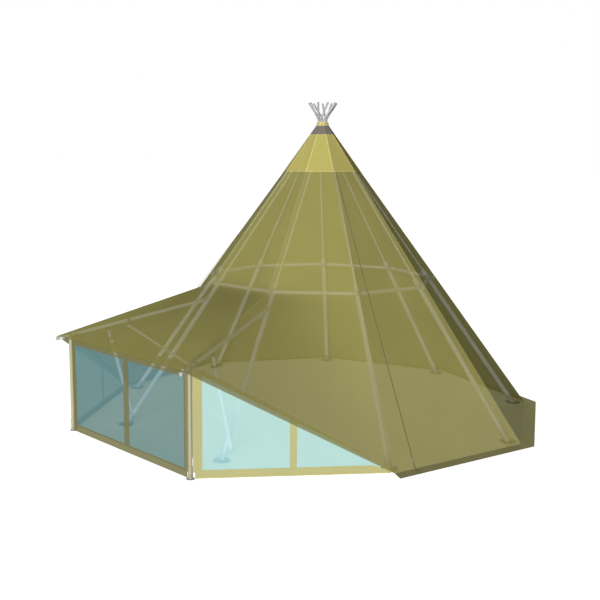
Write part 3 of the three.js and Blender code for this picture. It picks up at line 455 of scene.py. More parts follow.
bore = upper_radius - 0.003
tube = [(bore, upper_start + 0.3), (bore, upper_start), (upper_radius, upper_start)]
tube.append((upper_radius, cross_along))
tip = [(upper_radius, cross_along), (upper_radius, plug_start), (plug_radius, plug_start)]
plug = [(plug_radius, plug_start), (plug_radius, tip_along - 0.012)]
plug += [(upper_radius - 0.005, tip_along - 0.004), (upper_radius - 0.012, tip_along), (0, tip_along)]
for pole in range(1, 10):
    mesh = bmesh.new()
    on_pole = bay_place(pole) @ frame_along(pole_foot, pole_axis)
    turn_profile(mesh, tube, on_pole, sides=28)
    tube_faces = len(mesh.faces)
    turn_profile(mesh, tip, on_pole, sides=28)
    bmesh.ops.remove_doubles(mesh, verts=mesh.verts, dist=1e-5)
    tip_faces = len(mesh.faces)
    turn_profile(mesh, plug, on_pole, sides=28)
    paint(mesh, lambda index, middle: (index >= tube_faces) + (index >= tip_faces))
    metals = (tube_metal, tip_metal, plug_rubber)
    node = f"upper_pole_{pole}"
    finish_piece(f"upper_tube_{pole}", mesh, metals, node, [node])

# Ring
# Nine level tubes tie the poles together at half height. Each has a clamp collar round its pole, an elbow
# outside it with a pad under the cover's ridge, and takes the spigot of the next tube.
ring_standoff = 0.084
ring_tube_radius = 0.040
collar_wall = 0.016
collar_length = 0.130
elbow_radius = 0.046
elbow_height = 0.084
sleeve_start = 0.130
spigot_length = 0.150
pad_half_width = 0.034
pad_height = 0.060
hem_radius = 5.295
apex_height = 7.085
cloth_inset = 0.0043


def cone_radius(height):
    return hem_radius * (1 - height / apex_height)


ring_pole = pole_at(ring_height)
ring_node_radius = ring_pole.xy.length + ring_standoff
ring_node_turn = math.atan2(ring_pole.y, ring_pole.x)


def ring_node(bays):
    turn = ring_node_turn + bay_turn * bays
    return Vector((ring_node_radius * math.cos(turn), ring_node_radius * math.sin(turn), ring_height))


def clamp_collar(mesh, place, middle, bolt_side):
    outer, inner = lower_radius + collar_wall, lower_radius + 0.0005
    groove = outer - 0.004
    half = collar_length / 2
    rises = [(inner, half), (groove, half), (outer, half - 0.004), (outer, 0.012), (groove, 0.008)]
    profile = [(radius, middle - rise) for radius, rise in rises]
    profile += [(radius, middle + rise) for radius, rise in reversed(rises)]
    turn_profile(mesh, profile, place)
    for rise in (-0.6, 0.6):
        spot = place @ Vector((0, bolt_side * outer, middle + rise * half))
        out = (place.to_3x3() @ Vector((0, bolt_side, 0))).normalized()
        hex_bolt(mesh, frame_along(spot, out), 0.011, 0.009)


def ridge_pad(mesh, bay):
    back = ring_node_radius - elbow_radius / 2
    lean = math.hypot(1, hem_radius / apex_height)
    rows = []
    for height in (ring_height - pad_height / 2, ring_height + pad_height / 2):
        edge = cone_radius(height) - (cloth_inset + 0.0003) * lean
        shoulder = edge - pad_half_width * math.tan(bay_turn / 2)
        plan = [(back, -1), (shoulder, -1), (edge, 0), (shoulder, 1), (back, 1)]
        rows.append([mesh.verts.new(bay @ Vector((r, s * pad_half_width, height))) for r, s in plan])
    rims = [[mesh.edges.new((row[i], row[(i + 1) % 5])) for i in range(5)] for row in rows]
    sides = bmesh.ops.bridge_loops(mesh, edges=rims[0] + rims[1])
    ends = [mesh.faces.new(row) for row in rows]
    bmesh.ops.recalc_face_normals(mesh, faces=sides["faces"] + ends)


node, after, before = ring_node(0), ring_node(1), ring_node(-1)
tube_end = (after - node).length - sleeve_start
swell = ring_tube_radius + 0.003
ring_profile = [
    (0, 0.02), (ring_tube_radius, 0.02), (ring_tube_radius, tube_end - 0.062), (swell, tube_end - 0.060),
    (swell, tube_end - 0.0023), (ring_tube_radius + 0.001, tube_end - 0.0003),
    (ring_tube_radius - 0.004, tube_end - 0.0003),
]
for pole in range(1, 10):
    mesh = bmesh.new()
    bay = bay_place(pole)
    clamp_collar(mesh, bay @ frame_along(pole_foot, pole_axis), ring_along, -1)
    bridge = rod_profile(elbow_radius / 2, 0, ring_standoff)
    turn_profile(mesh, bridge, bay @ frame_along(ring_pole, node - ring_pole), sides=24)
    elbow = rod_profile(elbow_radius, -elbow_height / 2, elbow_height / 2, 0.004)
    turn_profile(mesh, elbow, bay @ Matrix.Translation(node))
    shoulder = rod_profile(ring_tube_radius, 0, sleeve_start)
    turn_profile(mesh, shoulder, bay @ frame_along(node, before - node))
    ridge_pad(mesh, bay)
    cast_faces = len(mesh.faces)
    turn_profile(mesh, ring_profile, bay @ frame_along(node, after - node))
    spigot = rod_profile(ring_tube_radius - 0.005, sleeve_start - 0.002, sleeve_start + spigot_length)
    turn_profile(mesh, spigot, bay @ frame_along(node, before - node))
    paint(mesh, lambda index, middle: index < cast_faces)
    metals = (tube_metal, cast_metal)
    finish_piece(f"ring_part_{pole}", mesh, metals, "tent", [f"ring_tube_{pole}"])

# Crown ring
# A flat zinc-plated steel ring, notched for the nine poles, just under the point where they cross.
# It keeps its solid, with a spangled zinc finish.
zinc_plate, tree, shader = new_material("zinc plate")
spangle = add_node(tree, "TexVoronoi", {"Vector": on_object(tree), "Scale": 55.0})["Color"]
zinc_looks = {"Base Color": two_tones(tree, spangle, (0.22, 0.22, 0.215), (0.36, 0.36, 0.35))}
zinc_looks["Roughness"] = map_range(tree, spangle, 0.38, 0.60)
feed(tree, shader, {**zinc_looks, "Metallic": 0.45})
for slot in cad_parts["crown_ring"].material_slots:
    slot.material = zinc_plate

# Rafters
# Two tubes carry the canopy from the front poles to its corners. Each is clamped to its pole below the ring
# and ends in a pin that stands in the canopy's corner eyelet.
rafter_radius = 0.040
rafter_pole_height = 2.860
eave_radius = 6.550
rafter_poke = 0.024
tip_pin_radius = 0.010
tip_pin_inset = 0.050
bare_end = 0.080
rafter_start = pole_at(rafter_pole_height)
rafter_corner = Vector((eave_radius, 0, 2.16725))
rafter_axis = (rafter_corner - rafter_start).normalized()
rafter_length = (rafter_corner - rafter_start).length + rafter_poke
rafter_bore = rafter_radius - 0.004


def rafter_at(reach):
    return rafter_corner + rafter_axis * ((reach - eave_radius) / rafter_axis.x)


neck = rod_profile(rafter_radius + 0.008, lower_radius + 0.006, lower_radius + 0.080, 0.004)
rafter_profile = [
    (rafter_radius, lower_radius + 0.070), (rafter_radius, rafter_length - bare_end - 0.010),
    (rafter_radius, rafter_length - 0.001), (rafter_radius - 0.001, rafter_length),
    (rafter_bore, rafter_length), (rafter_bore, rafter_length - 0.006), (0, rafter_length - 0.006),
]
front_sides = (("right", right_pole, 1), ("left", left_pole, -1))
for word, pole, side in front_sides:
    mesh = bmesh.new()
    bay = bay_place(pole)
    clamp_collar(mesh, bay @ frame_along(pole_foot, pole_axis), along_pole(rafter_pole_height), -side)
    turn_profile(mesh, neck, bay @ frame_along(rafter_start, rafter_axis))
    cast_faces = len(mesh.faces)
    turn_profile(mesh, rafter_profile, bay @ frame_along(rafter_start, rafter_axis))
    pin = rod_profile(tip_pin_radius, 0.030, 0.0550)
    turn_profile(mesh, pin, bay @ Matrix.Translation(rafter_at(eave_radius - tip_pin_inset)), sides=20)
    tip = bay @ (rafter_start + rafter_axis * rafter_length)
    paint(mesh, lambda index, middle: 1 if index < cast_faces else 2 * ((middle - tip).length < bare_end))
    metals = (tube_metal, cast_metal, tip_metal)
    finish_piece(f"rafter_tube_{word}", mesh, metals, "tent", [f"rafter_{word}"])

# Props
# A telescopic prop hangs on a pin at each front pole's foot and holds its rafter up in a cradle. The outer
# tube ends in a dark, bolted flange, and the inner tube carries the cradle on a dark knuckle.
prop_radius = 0.042
prop_head_reach = 5.400
prop_neck = 0.210
prop_overlap = 0.600
flange_radius = 0.092
flange_thickness = 0.016
knuckle_radius = 0.050
knuckle_height = 0.064
cradle_length = 0.100
cradle_wall = 0.006
cradle_turn = math.radians(140)
seat_gap = 0.0004
inner_radius = prop_radius - 0.0063
eye_hole = prop_pin_radius + 0.0005
half_eye = prop_eye_width / 2
eye = [(eye_hole, -half_eye), (prop_radius - 0.003, -half_eye), (prop_radius, 0.003 - half_eye)]
eye += [(prop_radius, half_eye - 0.003), (prop_radius - 0.003, half_eye), (eye_hole, half_eye), eye[0]]
cradle_bore = rafter_radius + seat_gap
cradle_outside = cradle_bore + cradle_wall
cradle_section = [(cradle_bore, 0), (cradle_outside, 0), (cradle_outside, cradle_length)]
cradle_section.append((cradle_bore, cradle_length))
for word, pole, side in front_sides:
    bay = bay_place(pole)
    foot = pole_at(prop_pin_height) + Vector((0, side * prop_offset, 0))
    head = rafter_at(prop_head_reach)
    axis = (head - foot).normalized()
    span = (head - foot).length
    length = span - rafter_radius - knuckle_height - prop_neck
    flange_start = length - flange_thickness
    on_prop = bay @ frame_along(foot, axis)
    along_prop = on_prop.inverted()
    metals = (tube_metal, dark_steel)
    mesh = bmesh.new()
    outer = [
        (0, 0.010), (prop_radius - 0.006, 0.010), (prop_radius, 0.020),
        (prop_radius, flange_start - 0.020), (prop_radius + 0.006, flange_start),
        (flange_radius - 0.002, flange_start), (flange_radius, flange_start + 0.002),
        (flange_radius, length - 0.002), (flange_radius - 0.002, length),
        (prop_radius - 0.005, length), (prop_radius - 0.005, length - 0.060),
    ]
    turn_profile(mesh, outer, on_prop)
    turn_profile(mesh, eye, bay @ frame_along(foot, Vector((0, 1, 0))))
    bolt_circle(mesh, on_prop @ Matrix.Translation((0, 0, length)), 0.070, 3, 30, 0.010, 0.007)
    paint(mesh, lambda index, middle: (along_prop @ middle).z > flange_start - 0.001)
    outer_node = f"prop_tube_{word}"
    finish_piece(f"prop_outer_{word}", mesh, metals, f"prop_{word}", [outer_node])
    mesh = bmesh.new()
    knuckle_start = length + prop_neck
    inner = [
        (inner_radius, length - prop_overlap), (inner_radius, knuckle_start - 0.006),
        (knuckle_radius - 0.002, knuckle_start), (knuckle_radius, knuckle_start + 0.002),
        (knuckle_radius, span - rafter_radius - 0.006), (0, span - rafter_radius - 0.004),
    ]
    turn_profile(mesh, inner, on_prop)
    paint(mesh, lambda index, middle: (along_prop @ middle).z > knuckle_start - 0.005)
    on_rafter = bay @ frame_along(head - rafter_axis * cradle_length / 2, rafter_axis)
    down = on_rafter.inverted().to_3x3() @ Vector((0, 0, -1))
    start_turn = math.atan2(down.y, down.x) - cradle_turn / 2
    old_verts, old_faces = set(mesh.verts), set(mesh.faces)
    start = Matrix.Rotation(start_turn, 4, "Z")
    cut = mesh.faces.new([mesh.verts.new(start @ Vector((r, 0, h))) for r, h in cradle_section])
    bmesh.ops.spin(
        mesh, geom=[cut], cent=(0, 0, 0), axis=(0, 0, 1), angle=cradle_turn, steps=18, use_merge=False
    )
    bmesh.ops.recalc_face_normals(mesh, faces=[f for f in mesh.faces if f not in old_faces])
    bmesh.ops.transform(mesh, matrix=on_rafter, verts=[v for v in mesh.verts if v not in old_verts])
    inner_node = f"prop_head_{word}"
    finish_piece(f"prop_inner_{word}", mesh, metals, inner_node, [inner_node])

# Brace
# One sloping tube under the two rafters, hung from a dark band round each. It keeps them apart.
brace_radius = 0.025
brace_overhang = 0.045
brace_lug_radius = 0.018
brace_right_reach = 6.050
brace_left_reach = 4.900
brace_right_top = bay_place(right_pole) @ rafter_at(brace_right_reach)
brace_left_top = bay_place(left_pole) @ rafter_at(brace_left_reach)
brace_right_end = brace_right_top - Vector((0, 0, 0.060 + rafter_radius))
brace_left_end = brace_left_top - Vector((0, 0, 0.130))
brace_axis = (brace_left_end - brace_right_end).normalized()
brace_start = brace_right_end - brace_axis * brace_overhang
brace_length = (brace_left_end - brace_right_end).length + 2 * brace_overhang


def rafter_band(mesh, pole, reach, thickness, half_width):
    inside, outside = rafter_radius + seat_gap, rafter_radius + thickness
    band = [(inside, -half_width), (outside, -half_width), (outside, half_width), (inside, half_width)]
    axis = (bay_place(pole).to_3x3() @ rafter_axis).normalized()
    turn_profile(mesh, band, frame_along(bay_place(pole) @ rafter_at(reach), axis))


mesh = bmesh.new()
bore = brace_radius - 0.003
tube = [(0, 0.004), (bore, 0.004), (bore, 0), (brace_radius, 0), (brace_radius, brace_length)]
tube += [(bore, brace_length), (bore, brace_length - 0.004), (0, brace_length - 0.004)]
turn_profile(mesh, tube, frame_along(brace_start, brace_axis), sides=28)
tube_faces = len(mesh.faces)
lugs = [(brace_right_top, brace_right_end, right_pole, brace_right_reach)]
lugs.append((brace_left_top, brace_left_end, left_pole, brace_left_reach))
for top, end, pole, reach in lugs:
    lug_length = top.z - end.z - rafter_radius
    turn_profile(mesh, rod_profile(brace_lug_radius, 0, lug_length), frame_along(end, top - end), sides=20)
    rafter_band(mesh, pole, reach, 0.004, 0.020)
paint(mesh, lambda index, middle: index >= tube_faces)
finish_piece("brace_part", mesh, (tube_metal, dark_steel), "tent", ["brace_tube"])

# Wall posts and their feet
# Two posts in a beige finish stand under the rafters at the corners of the window wall. Each has two rails
# that hold the walls' welted edges, and slides in a plated foot with a thumb screw.
post_reach = 6.250
post_tube_radius = 0.040
post_end = 0.120
rail_reach = 0.012
rail_thickness = 0.008
rail_start = 0.420
wall_head_height = 2.140
foot_length = 0.260
foot_plate_radius = 0.088
foot_plate_thickness = 0.010
wall_corner_radius = hem_radius - 0.040
wall_posts = {word: bay_place(pole) @ rafter_at(post_reach).xy.to_3d() for word, pole, side in front_sides}
wall_corners = {"right": ridge_point(8, wall_corner_radius, 0), "left": ridge_point(2, wall_corner_radius, 0)}
post_paint = metal_material("post aluminium", (0.42, 0.40, 0.245), 0.55, 0.05)
post_top = rafter_at(post_reach).z - rafter_radius / rafter_axis.xy.length - 0.004
bore = post_tube_radius - 0.004
post_profile = [(bore, post_end + 0.2), (bore, post_end), (post_tube_radius, post_end)]
post_profile += [(post_tube_radius, post_top), (0, post_top)]
sleeve_radius = post_tube_radius + 0.008
sleeve_bore = post_tube_radius + 0.0005
painted_reach = post_tube_radius + 0.009
foot_profile = rod_profile(foot_plate_radius, 0, foot_plate_thickness)[:-1]
foot_profile += [
    (post_tube_radius + 0.014, foot_plate_thickness), (sleeve_radius, foot_plate_thickness + 0.010),
    (sleeve_radius, foot_length - 0.003), (post_tube_radius + 0.005, foot_length), (sleeve_bore, foot_length),
    (sleeve_bore, foot_plate_thickness), (0, foot_plate_thickness),
]
for word, pole, side in front_sides:
    post = wall_posts[word]
    mesh = bmesh.new()
    turn_profile(mesh, post_profile, Matrix.Translation(post))
    rafter_band(mesh, pole, post_reach, 0.005, 0.030)
    other = "left" if word == "right" else "right"
    for goal in (wall_posts[other], wall_corners[word]):
        direction = (goal - post).normalized()
        turn = math.atan2(direction.y, direction.x)
        rail = bmesh.ops.create_cube(mesh, size=1.0)["verts"]
        rail_size = (rail_reach + 0.004, rail_thickness, wall_head_height - rail_start)
        beside = (post_tube_radius + rail_reach / 2 - 0.002, 0, (wall_head_height + rail_start) / 2)
        bmesh.ops.scale(mesh, verts=rail, vec=rail_size)
        bmesh.ops.translate(mesh, verts=rail, vec=beside)
        bmesh.ops.rotate(mesh, verts=rail, cent=(0, 0, 0), matrix=Matrix.Rotation(turn, 3, "Z"))
        bmesh.ops.translate(mesh, verts=rail, vec=post)
    finish_piece(f"post_tube_{word}", mesh, (post_paint,), "tent", [f"wall_post_{word}"])
    mesh = bmesh.new()
    turn_profile(mesh, foot_profile, Matrix.Translation(post))
    outside = (post - Vector((0, plan_shift, 0))).normalized()
    outside.z = 0
    screw = post + outside * (post_tube_radius + 0.007) + Vector((0, 0, foot_length - 0.035))
    hex_bolt(mesh, frame_along(screw, outside), 0.010, 0.012)
    plate_top = post + Vector((0, 0, foot_plate_thickness))
    bolt_circle(mesh, Matrix.Translation(plate_top), 0.070, 3, 60, 0.007, 0.005)
    paint(mesh, lambda index, middle: middle.z > 0.030 and (middle - post).xy.length < painted_reach)
    node = f"post_foot_{word}"
    finish_piece(f"post_shoe_{word}", mesh, (zinc_plate, post_paint), node, [node])

# Cover
# Nine panels of proofed olive canvas, joined with taped seams over the poles. Six stand down to the ground
# and end in a flap. The three front ones bend out at the ring and make the canopy; the middle one carries
# painted light, its colour lighter towards the eave.
cloth_numbers = {"Tape": 0.025, "Thread": 260.0, "Variation": 0.05, "Roughness": 0.6, "Relief": 0.2}
canvas_weave, given, result = new_group("canvas weave", ["Color", "Tape Color"], cloth_numbers)
tree = canvas_weave
flat = on_surface(tree, "cloth")
yarns = [pattern(tree, "Wave", flat, {"Scale": given["Thread"]}, bands_direction=way) for way in ("X", "Y")]
cloud = pattern(tree, "Noise", on_object(tree), {"Scale": 0.8, "Detail": 6.0})
slub = pattern(tree, "Noise", flat, {"Scale": 55.0, "Detail": 3.0})
uneven = compute(tree, "MULTIPLY_ADD", slub, 0.4, cloud)
shade_range = [compute(tree, change, 1.0, given["Variation"]) for change in ("SUBTRACT", "ADD")]
tint = scaled(tree, given["Color"], map_range(tree, uneven, *shade_range, span=(0.45, 0.95)))
off_middle = compute(tree, "ABSOLUTE", add_node(tree, "SeparateXYZ", {"Vector": flat})["X"])
rim = add_node(tree, "SeparateXYZ", {"Vector": on_surface(tree, "edge")})
nearest = compute(tree, "MINIMUM", compute(tree, "SUBTRACT", rim["X"], off_middle), rim["Y"])
taped = compute(tree, "LESS_THAN", nearest, given["Tape"])
stitch_row = compute(tree, "COMPARE", compute(tree, "DIVIDE", nearest, given["Tape"]), 0.80, 0.05)
stitches = pattern(tree, "Wave", flat, {"Scale": 38.0}, bands_direction="DIAGONAL")
sewn = map_range(tree, compute(tree, "MULTIPLY", stitch_row, stitches), 1.0, 0.55)
tapes = {"Factor": taped, "A": tint, "B": given["Tape Color"]}
cloth_looks = {"Color": scaled(tree, add_node(tree, "Mix", tapes, data_type="RGBA")["Result"], sewn)}
cloth_looks["Roughness"] = compute(tree, "MULTIPLY_ADD", slub, 0.12, given["Roughness"])
raised = compute(tree, "MULTIPLY_ADD", taped, 2.0, compute(tree, "MULTIPLY", *yarns))
bump = {"Height": raised, "Strength": given["Relief"], "Distance": 0.0003}
cloth_looks["Normal"] = add_node(tree, "Bump", bump)["Normal"]
feed(tree, result, cloth_looks)


def see_through(tree, shader, opacity, shade):
    rays = add_node(tree, "LightPath", {})
    feed(tree, shader, {"Alpha": map_range(tree, rays["Is Shadow Ray"], opacity, shade)})


def cloth_material(name, color, tape, opacity, shade, width=0.025, variation=0.05, thread=260.0):
    material, tree, shader = new_material(name)
    values = {"Color": (*color, 1), "Tape Color": (*tape, 1), "Tape": width}
    coat(tree, shader, canvas_weave, {**values, "Variation": variation, "Thread": thread})
    sheen = {"Sheen Weight": 0.02, "Sheen Tint": (*color, 1), "Sheen Roughness": 0.5}
    feed(tree, shader, {**sheen, "Specular IOR Level": 0.0})
    see_through(tree, shader, opacity, shade)
    return material


olive, olive_tape = (0.305, 0.28, 0.080), (0.33, 0.305, 0.11)
cover_canvas = cloth_material("olive canvas", olive, olive_tape, 0.82, 0.30)
canopy_canvas = cloth_material("olive canvas with painted eave light", olive, olive_tape, 0.82, 0.30)
tree = canopy_canvas.node_tree
# Painted light: this canvas grows lighter towards the canopy's eave, from y -2.8 to y -5.4.
forward = add_node(tree, "SeparateXYZ", {"Vector": on_object(tree)})["Y"]
painted_eave_light = map_range(tree, forward, 0.0, 1.0, span=(-2.8, -5.4), interpolation_type="SMOOTHSTEP")
feed(tree, tree.nodes["Group"], {"Color": two_tones(tree, painted_eave_light, olive, (0.405, 0.375, 0.108))})

cover_top = 6.700
flap_radius = 5.595
eave_height = 2.22424
canopy_rows = 4
top_point = (cone_radius(cover_top), cover_top)
standing_line = [top_point, (cone_radius(cloth_inset), cloth_inset), (flap_radius, cloth_inset)]
bend_line = [(2.73718, 3.42251), (2.84286, 3.30850), (2.96807, 3.22315), (3.11283, 3.16646)]
bend_end = Vector(bend_line[-1])
raised_line = [top_point, *bend_line]
for row in range(1, canopy_rows + 1):
    raised_line.append(tuple(bend_end.lerp(Vector((eave_radius, eave_height)), row / canopy_rows)))


def line_lengths(line):
    lengths = [0.0]
    for (r0, z0), (r1, z1) in zip(line, line[1:]):
        lengths.append(lengths[-1] + math.hypot(r1 - r0, z1 - z0))
    return lengths


raised_lengths = line_lengths(raised_line)
matched_line = []
for length in raised_lengths:
    height = cover_top + (cloth_inset - cover_top) * length / raised_lengths[-1]
    matched_line.append((cone_radius(height), height))


def cover_line(pole, canopy):
    if not canopy:
        return standing_line
    return raised_line if pole in (right_pole, left_pole) else matched_line


def spans(edge, layer, start, end):
    first, last = (vert.link_loops[0][layer].uv for vert in edge.verts)
    low, high = sorted((first.y, last.y))
    return abs(first.x - last.x) < 1e-4 and abs(low - start) < 1e-4 and abs(high - end) < 1e-4


def bay_cloth(bays, across, along):
    mesh = bmesh.new()
    cloth, edge, share = [mesh.loops.layers.uv.new(name) for name in ("cloth", "edge", "share")]
    level = []
    for pole, next_pole, line, next_line in bays:
        run = line_lengths(line)
        rows = []
        for near, far in zip(line, next_line):
            ends = (ridge_point(pole, *near), ridge_point(next_pole, *far))
            rows.append(tuple(mesh.verts.new(end) for end in ends))
        for i, (upper, lower) in enumerate(zip(rows, rows[1:])):
            face = mesh.faces.new((upper[0], lower[0], lower[1], upper[1]))
            corners = ((i, 0), (i + 1, 0), (i + 1, 1), (i, 1))
            for loop, (row, side) in zip(face.loops, corners):
                width = (rows[row][1].co - rows[row][0].co).length
                loop[cloth].uv = ((side - 0.5) * width, -run[row])
                loop[edge].uv = (width / 2, run[-1] - run[row])
                loop[share].uv = (side, run[row] / run[-1])
        level += [mesh.edges.get(row) for row in rows]
    bmesh.ops.subdivide_edges(mesh, edges=level, cuts=across, use_grid_fill=True)
    for above, below in zip(run, run[1:]):
        between = [item for item in mesh.edges if spans(item, share, above / run[-1], below / run[-1])]
        cuts = max(1, round(along * (below - above) / run[-1]))
        bmesh.ops.subdivide_edges(mesh, edges=between, cuts=cuts, use_grid_fill=True)
    middle = Vector((0, plan_shift, 0))
    mesh.normal_update()
    lean = sum(face.normal.dot(face.calc_center_median() - middle) * face.calc_area() for face in mesh.faces)
    if lean < 0:
        bmesh.ops.reverse_faces(mesh, faces=mesh.faces)
        mesh.normal_update()
    return mesh, share, run[-1]


def settle_cloth(mesh, share, depth, ripple, held_from=0.86):
    moves = {}
    mesh.normal_update()
    for vert in mesh.verts:
        side, down = vert.link_loops[0][share].uv
        middle = max(0.0, 1 - (2 * side - 1) ** 2)
        fall = math.sin(math.pi * down / held_from) if down < held_from else 0.0
        wave = noise.noise(Vector((side * 5, down * 1.6, vert.co.x))) * ripple
        moves[vert] = -vert.normal * (depth + wave) * middle * fall
    for vert, move in moves.items():
        vert.co += move


cover_sags = {7: (0.004, 0.002)}
cover_trees = {}
for pole in range(1, 10):
    next_pole = pole % 9 + 1
    canopy = bool({pole, next_pole} & {right_pole, left_pole})
    lines = (cover_line(pole, canopy), cover_line(next_pole, canopy))
    mesh, share, run = bay_cloth([(pole, next_pole, *lines)], 15, 56)
    settle_cloth(mesh, share, *cover_sags.get(pole, (0.014, 0.008)))
    mesh.normal_update()
    mesh.loops.layers.uv.remove(share)
    cover_trees[pole] = BVHTree.FromBMesh(mesh)
    node = f"cover_panel_{pole}{next_pole}"
    cloths = (canopy_canvas if pole == right_pole else cover_canvas,)
    panel = finish_piece(f"canvas_{pole}{next_pole}", mesh, cloths, "tent", [node], crease=40)

# Vent net
# A band of grey net closes the gap between the cover's top and the neck of the cap, under the cap.
vent_gauze = cloth_material("vent net", (0.16, 0.15, 0.13), (0.16, 0.15, 0.13), 0.75, 0.30, thread=90.0)
all_bays = [(pole, pole % 9 + 1) for pole in range(1, 10)]
bay_chord = 2 * math.sin(bay_turn / 2)


def round_cloth(line, across, along, sag=None):
    mesh, share, run = bay_cloth([(*bay, line, line) for bay in all_bays], across, along)
    if sag:
        settle_cloth(mesh, share, *sag, held_from=1.0)
    bmesh.ops.remove_doubles(mesh, verts=mesh.verts, dist=1e-4)
    mesh.loops.layers.uv.remove(share)
    return mesh, (round(9 * bay_chord * line[-1][0], 3), round(run, 3))


mesh, flat = round_cloth([(0.1487, 6.9003), (0.2862, 6.7003)], 3, 6)
net = finish_piece("net_band", mesh, (vent_gauze,), "tent", ["vent_net"], crease=60)

# Vent cap
# One coated yellow cover is pulled over the top. Its ridges are taped and its skirt is hemmed, and a netted
# band lets the smoke out below its neck. The cord and the poles keep it in place.
cap_looks = ("yellow canvas", (0.49, 0.44, 0.13), (0.72, 0.65, 0.26), 0.88, 0.35)
cap_canvas = cloth_material(*cap_looks, width=0.012, variation=0.03)
net_looks = ("cap net", (0.20, 0.18, 0.15), (0.22, 0.20, 0.16), 0.85, 0.35)
cap_gauze = cloth_material(*net_looks, width=0.006, thread=90.0)
cap_line = [(0.1358, 6.986), (0.1536, 6.9003), (0.3008, 6.700), (0.9440, 5.825)]
mesh, flat = round_cloth(cap_line, 7, 24, sag=(0.004, 0.002))
paint(mesh, lambda index, middle: cap_line[2][1] < middle.z < cap_line[1][1])
cap = finish_piece("cap", mesh, (cap_canvas, cap_gauze), "tent", ["vent_cap"], crease=25)

# Eyelets
# Pressed steel eyelets: one at each end of the vent cord, and one round each rafter's pin at the canopy's
# corners.
mesh = bmesh.new()
corner_eyelet = (eave_radius - tip_pin_inset, 2.2380, canopy_rise, 0.0105)
for pole, radius, height, rise, hole in (
    (left_pole, 0.9183, 5.860, cap_rise, 0.006),
    (left_pole, 3.2000, 3.1426, canopy_rise, 0.006),
    (left_pole, *corner_eyelet),
    (right_pole, *corner_eyelet),
):
    rim = [(hole, 0), (hole + 0.012, 0), (hole + 0.013, 0.001), (hole + 0.012, 0.0018)]
    rim += [(hole + 0.002, 0.0028), (hole, 0.0020), (hole, 0)]
    turned = bay_place(pole).to_3x3() @ rise
    turn_profile(mesh, rim, frame_along(ridge_point(pole, radius, height), turned), sides=28)
finish_piece("eyelets", mesh, (bolt_metal,), "tent")

# Window walls
# Three canvas walls close the raised side. Their ends hang on the posts' rails and their tops follow the
# canopy. Each is pieced from strips round clear panes, and a sewn binding covers the panes' edges.
side_wall = cloth_material("wall canvas", (0.46, 0.43, 0.19), (0.50, 0.47, 0.23), 0.93, 0.40)
# Painted shade: the front wall uses a darker copy of the wall canvas.
front_wall_painted_shade = cloth_material("shaded wall canvas", (0.19, 0.178, 0.078), (0.21, 0.198, 0.09), 0.80, 0.40)
wall_edge_start = 0.0523
notch_reach = 0.092
notch_height = 0.125
wall_corner_rise = 1.2
wall_sill = 0.175
wall_band = 0.190
half_front_bar = 0.095
front_head = 2.015
side_post_band = 0.235
side_top_band = 0.075
half_side_bar = 0.0725
wall_end_clearance = 0.060
station_step = 0.12
film_offset = 0.0033
film_lap = 0.040
film_head_lap = 0.035
binding_width = 0.022
binding_offset = 0.0012
canopy_trees = [cover_trees[pole] for pole in (8, 9, 1)]


def roof_over(point):
    hits = [tree.ray_cast(Vector((point.x, point.y, -1)), Vector((0, 0, 1)))[0] for tree in canopy_trees]
    return min((hit.z for hit in hits if hit), default=wall_head_height)


def level_between(points, reach):
    for (s0, z0), (s1, z1) in zip(points, points[1:]):
        if reach <= s1:
            return z0 + (z1 - z0) * max(0.0, reach - s0) / (s1 - s0)
    return points[-1][1]


